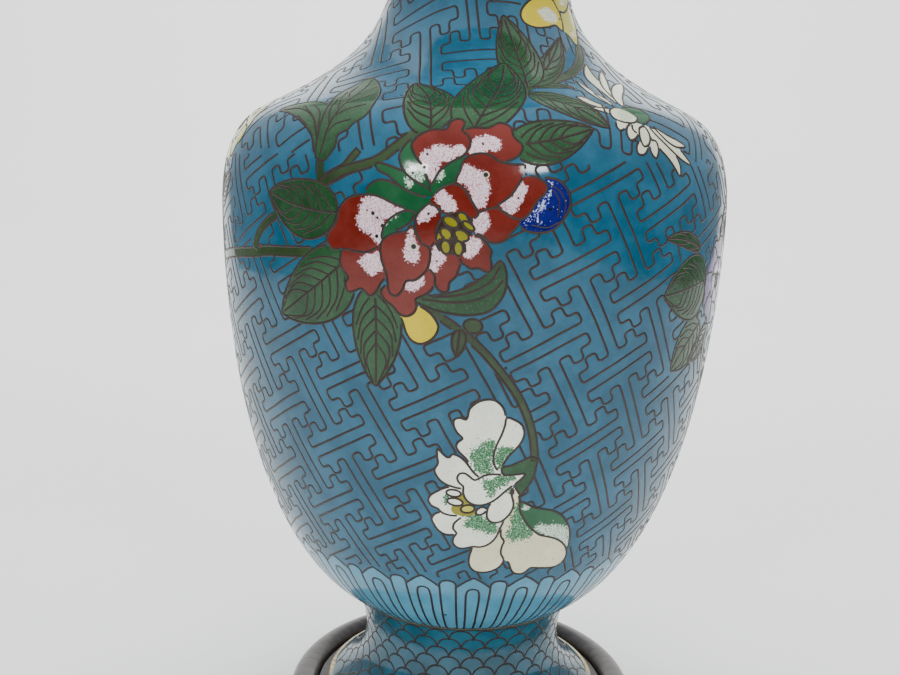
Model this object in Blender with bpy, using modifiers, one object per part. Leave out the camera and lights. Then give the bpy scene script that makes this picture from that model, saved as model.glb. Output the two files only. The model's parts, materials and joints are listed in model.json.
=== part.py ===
"""A cloisonne vase standing in the recess of a turned hardwood stand.

Metres, +Z up.  The origin is the centre of the stand's underside.  Every round piece is one
profile turned about Z.  The vase's skins lie at named depths under one master outline, so
they nest at any size.
"""
from math import cos, pi, radians, sin

import bpy
from mathutils import Vector
from mathutils.geometry import interpolate_bezier

GAP = 0.0003               # clearance between pieces that touch

# stand
STAND_HEIGHT = 0.024
RECESS_CLEARANCE = 0.0031  # round the vase's foot
RECESS_DEPTH = 0.0028      # top of the ring to the floor that the foot stands on
RIM_WIDTH = 0.0072
RIM_HEIGHT = 0.0085
PANEL_THICKNESS = 0.004
WAIST_INSET = 0.0065
APRON_HEIGHT = 0.0055      # widest moulding of the base above its underside
STAND_FEET = 4
STAND_FOOT_RADIUS = 0.0055
STAND_FOOT_HEIGHT = 0.0045
STAND_FOOT_INSET = 0.010   # centre of a foot from the outside of the ring

# foot of the vase
FOOT_HEIGHT = 0.029        # underside of the gilt ring to the joint with the body
FOOT_RIM_RADIUS = 0.0367
FOOT_RIM_WIDTH = 0.0026
FOOT_RIM_HEIGHT = 0.0028
FOOT_TOP_INSET = 0.0013    # top of the foot inside the joint's radius
FOOT_TAPER = radians(21)   # the foot narrows below the joint ...
FOOT_FLARE = radians(38)   # ... and spreads again above the ring

# body and neck, measured from the joint
JOINT_RADIUS = 0.0299
JOINT_SLOPE = radians(30)
BODY_RADIUS = 0.0635
BELLY_HEIGHT = 0.103
SHOULDER_INSET = 0.0086    # widest radius to where the shoulder turns in
SHOULDER_RISE = 0.0223
SHOULDER_SLOPE = radians(33)
NECK_RISE = 0.0354         # shoulder to the narrowest place of the neck
NECK_RADIUS = 0.022
NECK_LENGTH = 0.0605       # narrowest place to the lip
MOUTH_RADIUS = 0.0345
MOUTH_SLOPE = radians(48)
LAPPET_HEIGHT = 0.0204
MOUTH_BAND_DROP = 0.015    # lip to the ring wire under the mouth band

# wall and fittings
ENAMEL = 0.0008
COPPER = 0.0009
LINING = 0.0005
BASE_THICKNESS = 0.0012
RING_WIRE = 0.0006         # radius of the two ring wires
RING_PROUD = 0.0002        # how far they stand out of the enamel
LIP_WIDTH = 0.0042
LIP_HEIGHT = 0.0022
EDGE = 0.0004              # chamfer of the gilt rings

STEPS = 32                 # facets round a turned piece
CURVE_POINTS = 6           # points along one stretch of an outline

UP = pi / 2
RECESS_RADIUS = FOOT_RIM_RADIUS + RECESS_CLEARANCE
STAND_RADIUS = RECESS_RADIUS + RIM_WIDTH
FOOT_TOP_RADIUS = JOINT_RADIUS - FOOT_TOP_INSET
FLOOR = STAND_HEIGHT - RECESS_DEPTH
FOOT_BOTTOM = FLOOR + GAP
FOOT_TOP = FOOT_BOTTOM + FOOT_RIM_HEIGHT
JOINT = FOOT_BOTTOM + FOOT_HEIGHT
BELLY = JOINT + BELLY_HEIGHT
SHOULDER = BELLY + SHOULDER_RISE
NECK = SHOULDER + NECK_RISE
LIP = NECK + NECK_LENGTH
COPPER_DEPTH = ENAMEL + GAP
LINING_DEPTH = COPPER_DEPTH + COPPER + GAP
WALL = LINING_DEPTH + LINING
PLATE_TOP = JOINT + BASE_THICKNESS / 2
PLATE_BOTTOM = JOINT - BASE_THICKNESS / 2

model = bpy.data.collections.new("cloisonne_vase")


def material(name, colour, roughness, metallic=0.0):
    mat = bpy.data.materials.new(name)
    mat.use_nodes = True
    shader = mat.node_tree.nodes["Principled BSDF"]
    shader.inputs["Base Color"].default_value = (*colour, 1.0)
    shader.inputs["Roughness"].default_value = roughness
    shader.inputs["Metallic"].default_value = metallic
    return mat


# ---- outlines: points (radius, height) ----

def heading(angle):
    """Unit vector in the profile plane, angle from the outward radius towards +Z."""
    return Vector((cos(angle), sin(angle)))


def stretch(start, start_angle, start_pull, end, end_angle, end_pull):
    """A smooth run of outline; the pulls are shares of the straight distance."""
    reach = (end - start).length
    handle_a = start + heading(start_angle) * reach * start_pull
    handle_b = end - heading(end_angle) * reach * end_pull
    return [Vector(p) for p in interpolate_bezier(start, handle_a, handle_b, end, CURVE_POINTS)]


def body_outline():
    """Outer surface of body and neck, from the joint up to the lip."""
    joint = Vector((JOINT_RADIUS, JOINT))
    belly = Vector((BODY_RADIUS, BELLY))
    shoulder = Vector((BODY_RADIUS - SHOULDER_INSET, SHOULDER))
    neck = Vector((NECK_RADIUS, NECK))
    mouth = Vector((MOUTH_RADIUS, LIP))
    lower = stretch(joint, JOINT_SLOPE, 0.30, belly, UP, 0.26)
    upper = stretch(belly, UP, 0.39, shoulder, pi - SHOULDER_SLOPE, 0.33)
    throat = stretch(shoulder, pi - SHOULDER_SLOPE, 0.17, neck, UP, 0.46)
    flare = stretch(neck, UP, 0.50, mouth, MOUTH_SLOPE, 0.22)
    return lower + upper[1:] + throat[1:] + flare[1:]


def foot_outline():
    """Outer surface of the foot, from the gilt ring up to the joint."""
    edge = Vector((FOOT_RIM_RADIUS - FOOT_RIM_WIDTH / 2, FOOT_TOP + GAP))
    top = Vector((FOOT_TOP_RADIUS, PLATE_BOTTOM - GAP))
    return stretch(edge, UP + FOOT_FLARE, 0.09, top, UP - FOOT_TAPER, 0.79)


def sunk(outline, depth):
    """An upward outline moved square to itself by depth, towards the inside of the vase.

    Both ends run on by the wall's thickness, so that a level cut still meets them.
    """
    first = (outline[1] - outline[0]).normalized() * WALL
    last = (outline[-1] - outline[-2]).normalized() * WALL
    run = [outline[0] - first] + outline + [outline[-1] + last]
    moved = []
    for i, point in enumerate(run):
        along = (run[min(i + 1, len(run) - 1)] - run[max(i - 1, 0)]).normalized()
        moved.append(point + Vector((-along.y, along.x)) * depth)
    return moved


def radius_at(outline, height):
    for a, b in zip(outline, outline[1:]):
        if a.y <= height <= b.y:
            return a.lerp(b, (height - a.y) / (b.y - a.y)).x
    raise ValueError("the outline doesn't reach this height")


def cut(outline, low, high):
    """The part of an upward outline between two heights."""
    inside = [p for p in outline if low < p.y < high]
    return [Vector((radius_at(outline, low), low))] + inside + [Vector((radius_at(outline, high), high))]


# ---- pieces ----

def turned(name, profile, mat):
    """A profile turned about Z, clockwise from the top; it closes unless it starts on the axis."""
    points = [(p[0], 0.0, p[1]) for p in profile]
    edges = [(i, i + 1) for i in range(len(points) - 1)]
    if profile[0][0] > 0:
        edges.append((len(points) - 1, 0))
    mesh = bpy.data.meshes.new(name)
    mesh.from_pydata(points, edges, [])
    mesh.materials.append(mat)
    obj = bpy.data.objects.new(name, mesh)
    model.objects.link(obj)
    screw = obj.modifiers.new("turn", "SCREW")
    screw.axis = "Z"
    screw.steps = STEPS
    screw.render_steps = STEPS
    screw.use_merge_vertices = True
    screw.merge_threshold = 0.00001
    screw.use_smooth_shade = True
    return obj


def skin(name, outline, depth, thickness, low, high, mat):
    """A turned layer between two depths under an outline and between two heights."""
    outer = cut(sunk(outline, depth), low, high)
    inner = cut(sunk(outline, depth + thickness), low, high)
    return turned(name, outer[::-1] + inner, mat)


def adopt(name, mat):
    """Name the primitive just added, give it a material and move it to the model's collection."""
    obj = bpy.context.object
    obj.name = name
    obj.data.name = name
    obj.data.materials.append(mat)
    for home in list(obj.users_collection):
        home.objects.unlink(obj)
    model.objects.link(obj)
    obj.data.shade_smooth()
    obj.data.set_sharp_from_angle(angle=radians(40))
    return obj


def plate(name, radius, bottom, top, mat, centre=(0.0, 0.0)):
    bpy.ops.mesh.primitive_cylinder_add(vertices=STEPS, radius=radius, depth=top - bottom,
                                        location=(*centre, (top + bottom) / 2))
    return adopt(name, mat)


def ring_wire(name, outline, height, mat):
    """A round wire laid in the enamel, a little proud of it."""
    radius = radius_at(sunk(outline, RING_WIRE - RING_PROUD), height)
    bpy.ops.mesh.primitive_torus_add(major_radius=radius, minor_radius=RING_WIRE,
                                     major_segments=STEPS, minor_segments=8,
                                     location=(0, 0, height))
    return adopt(name, mat)


def arc(centre, radius, start, end, points=7):
    """Points along an arc, angles from the outward radius towards +Z."""
    return [centre + heading(start + (end - start) * i / (points - 1)) * radius
            for i in range(points)]


def band_ring(name, inner, outer, bottom, top, mat):
    """A ring of rectangular section with its upper edges chamfered."""
    section = [(outer - EDGE, top), (outer, top - EDGE), (outer, bottom),
               (inner, bottom), (inner, top - EDGE), (inner + EDGE, top)]
    return turned(name, section, mat)


def make_stand(wood, floor_wood):
    half = RIM_WIDTH / 2
    crown = Vector((RECESS_RADIUS + half, STAND_HEIGHT - half))
    rim_bottom = STAND_HEIGHT - RIM_HEIGHT
    ring = arc(crown, half, pi, 0) + [(STAND_RADIUS, rim_bottom), (RECESS_RADIUS, rim_bottom)]
    turned("stand_rim", ring, wood)

    panel_bottom = FLOOR - PANEL_THICKNESS
    plate("stand_panel", RECESS_RADIUS - GAP, panel_bottom, FLOOR, floor_wood)

    base_top = min(rim_bottom, panel_bottom) - GAP
    base_bottom = STAND_FOOT_HEIGHT + GAP
    waist = STAND_RADIUS - WAIST_INSET
    apron = base_bottom + APRON_HEIGHT
    waist_height = (base_top + apron) / 2
    base = [(0, base_top), (waist + WAIST_INSET / 2, base_top), (waist, waist_height),
            (waist + WAIST_INSET / 2, apron + (waist_height - apron) / 3), (STAND_RADIUS, apron),
            (STAND_RADIUS - WAIST_INSET / 8, (apron + base_bottom) / 2),
            (waist + WAIST_INSET / 2, base_bottom), (0, base_bottom)]
    turned("stand_base", base, wood)

    spread = STAND_RADIUS - STAND_FOOT_INSET
    for i in range(STAND_FEET):
        angle = 2 * pi * (i + 0.5) / STAND_FEET
        centre = (spread * cos(angle), spread * sin(angle))
        plate(f"stand_foot_{i + 1}", STAND_FOOT_RADIUS, 0, STAND_FOOT_HEIGHT, wood, centre)


def make_foot(gilt, copper, scale_enamel, lining):
    outline = foot_outline()
    low = FOOT_TOP + GAP
    high = PLATE_BOTTOM - GAP
    rim_inner = FOOT_RIM_RADIUS - FOOT_RIM_WIDTH
    band_ring("foot_rim", rim_inner, FOOT_RIM_RADIUS, FOOT_BOTTOM, FOOT_TOP, gilt)
    skin("foot_enamel", outline, 0, ENAMEL, low, high, scale_enamel)
    skin("foot_shell", outline, COPPER_DEPTH, COPPER, low, high, copper)
    skin("foot_lining", outline, LINING_DEPTH, LINING, low, high, lining)

    inside = sunk(outline, WALL + GAP)
    under = high - LINING
    radius = min(radius_at(inside, under), radius_at(inside, high))
    plate("base_enamel", radius, under, high, lining)


def make_body(gilt, copper, ground, lappet_enamel, lining):
    outline = body_outline()
    low = PLATE_TOP + GAP
    high = LIP - LIP_HEIGHT - GAP
    half = GAP / 2
    lappets = JOINT + LAPPET_HEIGHT
    band = LIP - MOUTH_BAND_DROP
    beside_wire = RING_WIRE + GAP

    wire_radius = radius_at(sunk(outline, RING_WIRE - RING_PROUD), JOINT)
    plate("base_plate", wire_radius - RING_WIRE - GAP, PLATE_BOTTOM, PLATE_TOP, copper)
    ring_wire("joint_ring", outline, JOINT, gilt)

    skin("lappet_enamel", outline, 0, ENAMEL, JOINT + beside_wire, lappets - half, lappet_enamel)
    skin("ground_enamel", outline, 0, ENAMEL, lappets + half, band - beside_wire, ground)
    ring_wire("mouth_ring", outline, band, gilt)
    skin("mouth_enamel", outline, 0, ENAMEL, band + beside_wire, high, lappet_enamel)

    skin("body_shell", outline, COPPER_DEPTH, COPPER, low, BELLY - half, copper)
    skin("shoulder_shell", outline, COPPER_DEPTH, COPPER, BELLY + half, NECK - half, copper)
    skin("neck_shell", outline, COPPER_DEPTH, COPPER, NECK + half, high, copper)
    skin("body_lining", outline, LINING_DEPTH, LINING, low, SHOULDER - half, lining)
    skin("neck_lining", outline, LINING_DEPTH, LINING, SHOULDER + half, high, lining)

    inside = sunk(outline, WALL + GAP)
    plate("floor_enamel", radius_at(inside, low), low, low + LINING, lining)
    lip_outer = MOUTH_RADIUS + RING_PROUD
    band_ring("lip_ring", lip_outer - LIP_WIDTH, lip_outer, LIP - LIP_HEIGHT, LIP, gilt)


def main():
    for obj in list(bpy.data.objects):
        bpy.data.objects.remove(obj, do_unlink=True)
    bpy.context.scene.collection.children.link(model)

    wood = material("dark_hardwood", (0.045, 0.030, 0.030), 0.35)
    floor_wood = material("recess_wood", (0.030, 0.020, 0.020), 0.55)
    copper = material("copper", (0.72, 0.36, 0.22), 0.35, 1.0)
    gilt = material("gilt_copper", (0.55, 0.47, 0.28), 0.35, 1.0)
    ground = material("turquoise_enamel", (0.042, 0.205, 0.352), 0.10)
    lappet_enamel = material("pale_blue_enamel", (0.12, 0.34, 0.50), 0.10)
    scale_enamel = material("scale_blue_enamel", (0.06, 0.22, 0.36), 0.10)
    lining = material("counter_enamel", (0.03, 0.22, 0.38), 0.20)

    make_stand(wood, floor_wood)
    make_foot(gilt, copper, scale_enamel, lining)
    make_body(gilt, copper, ground, lappet_enamel, lining)


if __name__ == "__main__":
    main()
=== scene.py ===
"""Looks of the cloisonne vase: enamel cells and wires laid on the turned CAD surfaces.

Drawings are in millimetres on a flat chart: x runs round the vase from an anchor angle and
y up the outline from an anchor arc length.  Angle 0 is the front (-Y), positive to the right.
"""

import json
from math import atan2, cos, hypot, pi, radians, sin, tau

import bpy
import numpy as np
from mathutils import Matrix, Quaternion, Vector, noise
from mathutils.geometry import delaunay_2d_cdt, interpolate_bezier


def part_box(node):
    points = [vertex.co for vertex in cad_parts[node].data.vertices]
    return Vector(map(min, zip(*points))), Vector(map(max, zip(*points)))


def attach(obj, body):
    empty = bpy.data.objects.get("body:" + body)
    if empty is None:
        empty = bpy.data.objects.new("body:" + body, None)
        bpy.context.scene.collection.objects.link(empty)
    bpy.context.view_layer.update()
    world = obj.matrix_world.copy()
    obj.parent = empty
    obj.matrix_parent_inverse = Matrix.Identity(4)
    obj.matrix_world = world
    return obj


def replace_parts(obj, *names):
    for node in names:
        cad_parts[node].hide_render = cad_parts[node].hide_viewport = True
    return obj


MM = 0.001
UP = pi / 2

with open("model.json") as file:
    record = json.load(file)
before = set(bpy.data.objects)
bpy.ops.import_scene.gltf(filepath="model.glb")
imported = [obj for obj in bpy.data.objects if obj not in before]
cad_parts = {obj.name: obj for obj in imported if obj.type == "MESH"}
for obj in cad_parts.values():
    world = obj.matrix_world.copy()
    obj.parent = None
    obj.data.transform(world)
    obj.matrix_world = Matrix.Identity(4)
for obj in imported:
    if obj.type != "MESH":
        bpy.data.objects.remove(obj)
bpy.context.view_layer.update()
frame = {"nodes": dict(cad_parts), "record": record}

# ---- sizes read from the CAD, in millimetres ----

def low(node, axis):
    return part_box(node)[0][axis] / MM


def high(node, axis):
    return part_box(node)[1][axis] / MM


GAP = 0.3
JOINT = (low("joint_ring", 2) + high("joint_ring", 2)) / 2
RING_WIRE = (high("joint_ring", 2) - low("joint_ring", 2)) / 2
BELLY = high("body_shell", 2) + GAP / 2
SHOULDER = low("neck_lining", 2) - GAP / 2
NECK = low("neck_shell", 2) - GAP / 2
LIP = high("lip_ring", 2)
LIP_BOTTOM = low("lip_ring", 2)
LAPPET_TOP = high("lappet_enamel", 2) + GAP / 2
BAND = (low("mouth_ring", 2) + high("mouth_ring", 2)) / 2
FOOT_TOP = high("foot_rim", 2)
FOOT_BOTTOM = low("foot_rim", 2)
FOOT_RIM_RADIUS = high("foot_rim", 0)
BODY_RADIUS = high("ground_enamel", 0)
PLATE_BOTTOM = low("base_plate", 2)
RECESS_RADIUS = high("stand_panel", 0) + GAP
STAND_RADIUS = high("stand_rim", 0)

# sizes shared with the CAD's outlines
JOINT_RADIUS = 29.9
JOINT_SLOPE = radians(30)
SHOULDER_RADIUS = 54.9
SHOULDER_SLOPE = radians(33)
NECK_RADIUS = 22.0
MOUTH_RADIUS = 34.5
MOUTH_SLOPE = radians(48)
FOOT_RIM_WIDTH = 2.6
FOOT_TOP_RADIUS = 28.6
FOOT_TAPER = radians(21)
FOOT_FLARE = radians(38)
ENAMEL = 0.8
LIP_WIDTH = 4.2
RING_PROUD = 0.2
LINING_DEPTH = 2.3
WALL = 2.8

# drawing
SEGMENTS = 256
CURVE_POINTS = 40
WIRE = 0.58                # width of a cloison wire
WIRE_CROWN = 0.85          # a wire's top as a share of its width
WIRE_TOP = 0.05            # top of a wire over the enamel
WIRE_ROOT = -0.08
VEIN = WIRE * 0.8          # side veins of the leaves
HAIR_WIRE = 0.3            # finest wires, in the blue bud
CELL_LIFT = 0.02           # motif cells over the ground
CELL_STEP = 1.3            # spacing of the points that make a cell follow the vase
LINE_STEP = 0.6            # spacing of the points along a drawn line
MERGE = 0.32               # a lower wire this near to a cell above it is left out
SHORTEST_SCRAP = 2.2       # shorter bits of fret wire left between cells are not made
FLAT_RADIUS = 60.0         # angle to mm when cells of different motifs are compared
LEAF_ROOT = 0.5            # how soon a leaf widens and narrows
LEAF_TIP = 0.8


# ---- turned surfaces ----

def heading(angle):
    return Vector((cos(angle), sin(angle)))


def stretch(start, start_angle, start_pull, end, end_angle, end_pull):
    """A smooth run of outline; the pulls are shares of the straight distance."""
    start, end = Vector(start), Vector(end)
    reach = (end - start).length
    handle_a = start + heading(start_angle) * reach * start_pull
    handle_b = end - heading(end_angle) * reach * end_pull
    run = interpolate_bezier(start, handle_a, handle_b, end, CURVE_POINTS)
    return [(p[0], p[1]) for p in run]


def body_outline():
    joint = (JOINT_RADIUS, JOINT)
    belly = (BODY_RADIUS, BELLY)
    shoulder = (SHOULDER_RADIUS, SHOULDER)
    neck = (NECK_RADIUS, NECK)
    mouth = (MOUTH_RADIUS, LIP)
    lower = stretch(joint, JOINT_SLOPE, 0.30, belly, UP, 0.26)
    upper = stretch(belly, UP, 0.39, shoulder, pi - SHOULDER_SLOPE, 0.33)
    throat = stretch(shoulder, pi - SHOULDER_SLOPE, 0.17, neck, UP, 0.46)
    flare = stretch(neck, UP, 0.50, mouth, MOUTH_SLOPE, 0.22)
    return lower + upper[1:] + throat[1:] + flare[1:]


def foot_outline():
    edge = (FOOT_RIM_RADIUS - FOOT_RIM_WIDTH / 2, FOOT_TOP + GAP)
    top = (FOOT_TOP_RADIUS, PLATE_BOTTOM - GAP)
    return stretch(edge, UP + FOOT_FLARE, 0.09, top, UP - FOOT_TAPER, 0.79)


class Profile:
    """A turned surface, with places given by angle in radians and arc length in mm."""

    def __init__(self, outline):
        points = np.array(outline)
        steps = np.diff(points, axis=0)
        self.r, self.z = points.T
        self.s = np.concatenate([[0.0], np.cumsum(np.hypot(*steps.T))])
        along = np.gradient(points, self.s, axis=0)
        along /= np.linalg.norm(along, axis=1)[:, None]
        self.out_r, self.out_z = along[:, 1], -along[:, 0]

    def radius(self, s):
        return np.interp(s, self.s, self.r)

    def height(self, s):
        return np.interp(s, self.s, self.z)

    def arc(self, z):
        return float(np.interp(z, self.z, self.s))

    def normals(self, theta, s):
        out_r = np.interp(s, self.s, self.out_r)
        out_z = np.interp(s, self.s, self.out_z)
        return np.stack([out_r * np.sin(theta), -out_r * np.cos(theta), out_z], axis=1)

    def places(self, theta, s, lift=0.0):
        r, z = self.radius(s), self.height(s)
        flat = np.stack([r * np.sin(theta), -r * np.cos(theta), z], axis=1)
        return (flat + self.normals(theta, s) * lift) * MM

    def sunk(self, depth, low_z, high_z, step=0.9):
        """Points (r, z) of the outline moved inwards by depth, cut level at two heights."""
        r = self.r - self.out_r * depth
        z = self.z - self.out_z * depth
        count = max(3, int((high_z - low_z) / step))
        run = np.concatenate([[0.0], np.cumsum(np.hypot(np.diff(r), np.diff(z)))])
        first = np.interp(low_z, z, run)
        last = np.interp(high_z, z, run)
        picks = np.linspace(first, last, count)
        return list(zip(np.interp(picks, run, r), np.interp(picks, run, z)))


BODY = Profile(body_outline())
FOOT = Profile(foot_outline())


# ---- meshes ----

def piece(name, points, faces, material, body, smooth_angle=None):
    mesh = bpy.data.meshes.new(name)
    mesh.from_pydata([tuple(p) for p in points], [], [tuple(int(i) for i in f) for f in faces])
    mesh.materials.append(material)
    mesh.shade_smooth()
    if smooth_angle:
        mesh.set_sharp_from_angle(angle=smooth_angle)
    obj = bpy.data.objects.new(name, mesh)
    bpy.context.scene.collection.objects.link(obj)
    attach(obj, body)
    return obj


def turned(name, profile, material, body):
    """A closed section (r, z), clockwise from the top, turned about Z."""
    count = len(profile)
    angles = np.arange(SEGMENTS) * tau / SEGMENTS
    section = np.array(profile) * MM
    points = []
    for angle in angles:
        points.extend((r * sin(angle), -r * cos(angle), z) for r, z in section)
    faces = []
    for i in range(SEGMENTS):
        here = i * count
        there = ((i + 1) % SEGMENTS) * count
        for j in range(count):
            k = (j + 1) % count
            faces.append((here + j, here + k, there + k, there + j))
    return piece(name, points, faces, material, body, radians(40))


def skin(name, profile, depth, thickness, low_z, high_z, material, replaced):
    outer = profile.sunk(depth, low_z, high_z)
    inner = profile.sunk(depth + thickness, low_z, high_z, step=4.0)
    obj = turned(name, outer[::-1] + inner, material, "vase")
    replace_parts(obj, *replaced)
    return obj


def arc_points(centre, radius, start, end, count):
    return [(centre[0] + radius * cos(start + (end - start) * i / (count - 1)),
             centre[1] + radius * sin(start + (end - start) * i / (count - 1)))
            for i in range(count)]


# ---- flat drawing ----

def smooth(points, closed=True, step=LINE_STEP):
    """A smooth line through a few points, sampled about every step."""
    run = np.array(points, float)
    if closed:
        ring = np.vstack([run[-1:], run, run[:2]])
    else:
        ring = np.vstack([2 * run[:1] - run[1:2], run, 2 * run[-1:] - run[-2:-1]])
    made = []
    for p0, p1, p2, p3 in zip(ring, ring[1:], ring[2:], ring[3:]):
        d01, d12, d23 = (max(hypot(*(b - a)), 1e-6) ** 0.5 for a, b in ((p0, p1), (p1, p2), (p2, p3)))
        m1 = ((p1 - p0) / d01 - (p2 - p0) / (d01 + d12) + (p2 - p1) / d12) * d12
        m2 = ((p2 - p1) / d12 - (p3 - p1) / (d12 + d23) + (p3 - p2) / d23) * d12
        count = max(2, round(hypot(*(p2 - p1)) / step))
        t = np.arange(count)[:, None] / count
        made.append((2 * t**3 - 3 * t**2 + 1) * p1 + (t**3 - 2 * t**2 + t) * m1
                    + (3 * t**2 - 2 * t**3) * p2 + (t**3 - t**2) * m2)
    if not closed:
        made.append(run[-1:])
    return np.vstack(made)


def inside(polygon, points):
    """Which points lie inside a polygon."""
    x, y = points.T
    a, b = polygon[:, :, None], np.roll(polygon, -1, axis=0)[:, :, None]
    rise = np.where(b[:, 1] == a[:, 1], 1e-9, b[:, 1] - a[:, 1])
    crosses = (a[:, 1] > y) != (b[:, 1] > y)
    left = x < a[:, 0] + (b[:, 0] - a[:, 0]) * (y - a[:, 1]) / rise
    return (crosses & left).sum(axis=0) % 2 == 1


def covered(polygon, points, margin):
    """Which points lie inside a polygon or within a margin of its outline."""
    result = np.zeros(len(points), bool)
    lowest, highest = polygon.min(axis=0) - margin, polygon.max(axis=0) + margin
    near = np.nonzero(((points >= lowest) & (points <= highest)).all(axis=1))[0]
    if len(near):
        part = points[near]
        gaps = np.linalg.norm(part[:, None] - polygon[None], axis=2).min(axis=1)
        result[near] = inside(polygon, part) | (gaps < margin)
    return result


def runs(visible, closed):
    """Index lists of the unbroken visible stretches of a line."""
    count = len(visible)
    if visible.all():
        return [(list(range(count)), closed)]
    start = int(np.nonzero(~visible)[0][0]) if closed else 0
    order = [(start + i) % count for i in range(count)]
    found, current = [], []
    for i in order:
        if visible[i]:
            current.append(i)
        elif current:
            found.append(current)
            current = []
    if current:
        found.append(current)
    return [(f, False) for f in found if len(f) > 2]


class Wires:
    """Cloison wires on a turned surface, gathered into one mesh."""

    def __init__(self, profile, width=WIRE):
        self.profile = profile
        self.width = width
        self.points = []
        self.faces = []
        self.count = 0

    def add(self, theta, s, closed=False, width=None):
        half = (width or self.width) / 2
        base = self.profile.places(theta, s)
        normal = self.profile.normals(theta, s)
        if closed:
            along = np.roll(base, -1, axis=0) - np.roll(base, 1, axis=0)
        else:
            along = np.gradient(base, axis=0)
        side = np.cross(normal, along)
        side /= np.maximum(np.linalg.norm(side, axis=1), 1e-12)[:, None]
        crown = half * WIRE_CROWN
        offsets = ((-half, WIRE_ROOT), (-crown, WIRE_TOP), (crown, WIRE_TOP), (half, WIRE_ROOT))
        block = np.stack([base + (side * a + normal * b) * MM for a, b in offsets], axis=1)
        n = len(base)
        self.points.append(block.reshape(-1, 3))
        here = np.arange(n if closed else n - 1)
        there = (here + 1) % n
        for k in range(3):
            quad = np.stack([here * 4 + k, there * 4 + k, there * 4 + k + 1, here * 4 + k + 1], axis=1)
            self.faces.append(quad[:, ::-1] + self.count)
        self.count += 4 * n

    def make(self, name):
        piece(name, np.vstack(self.points), np.vstack(self.faces), materials["wire"], "vase")


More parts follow.
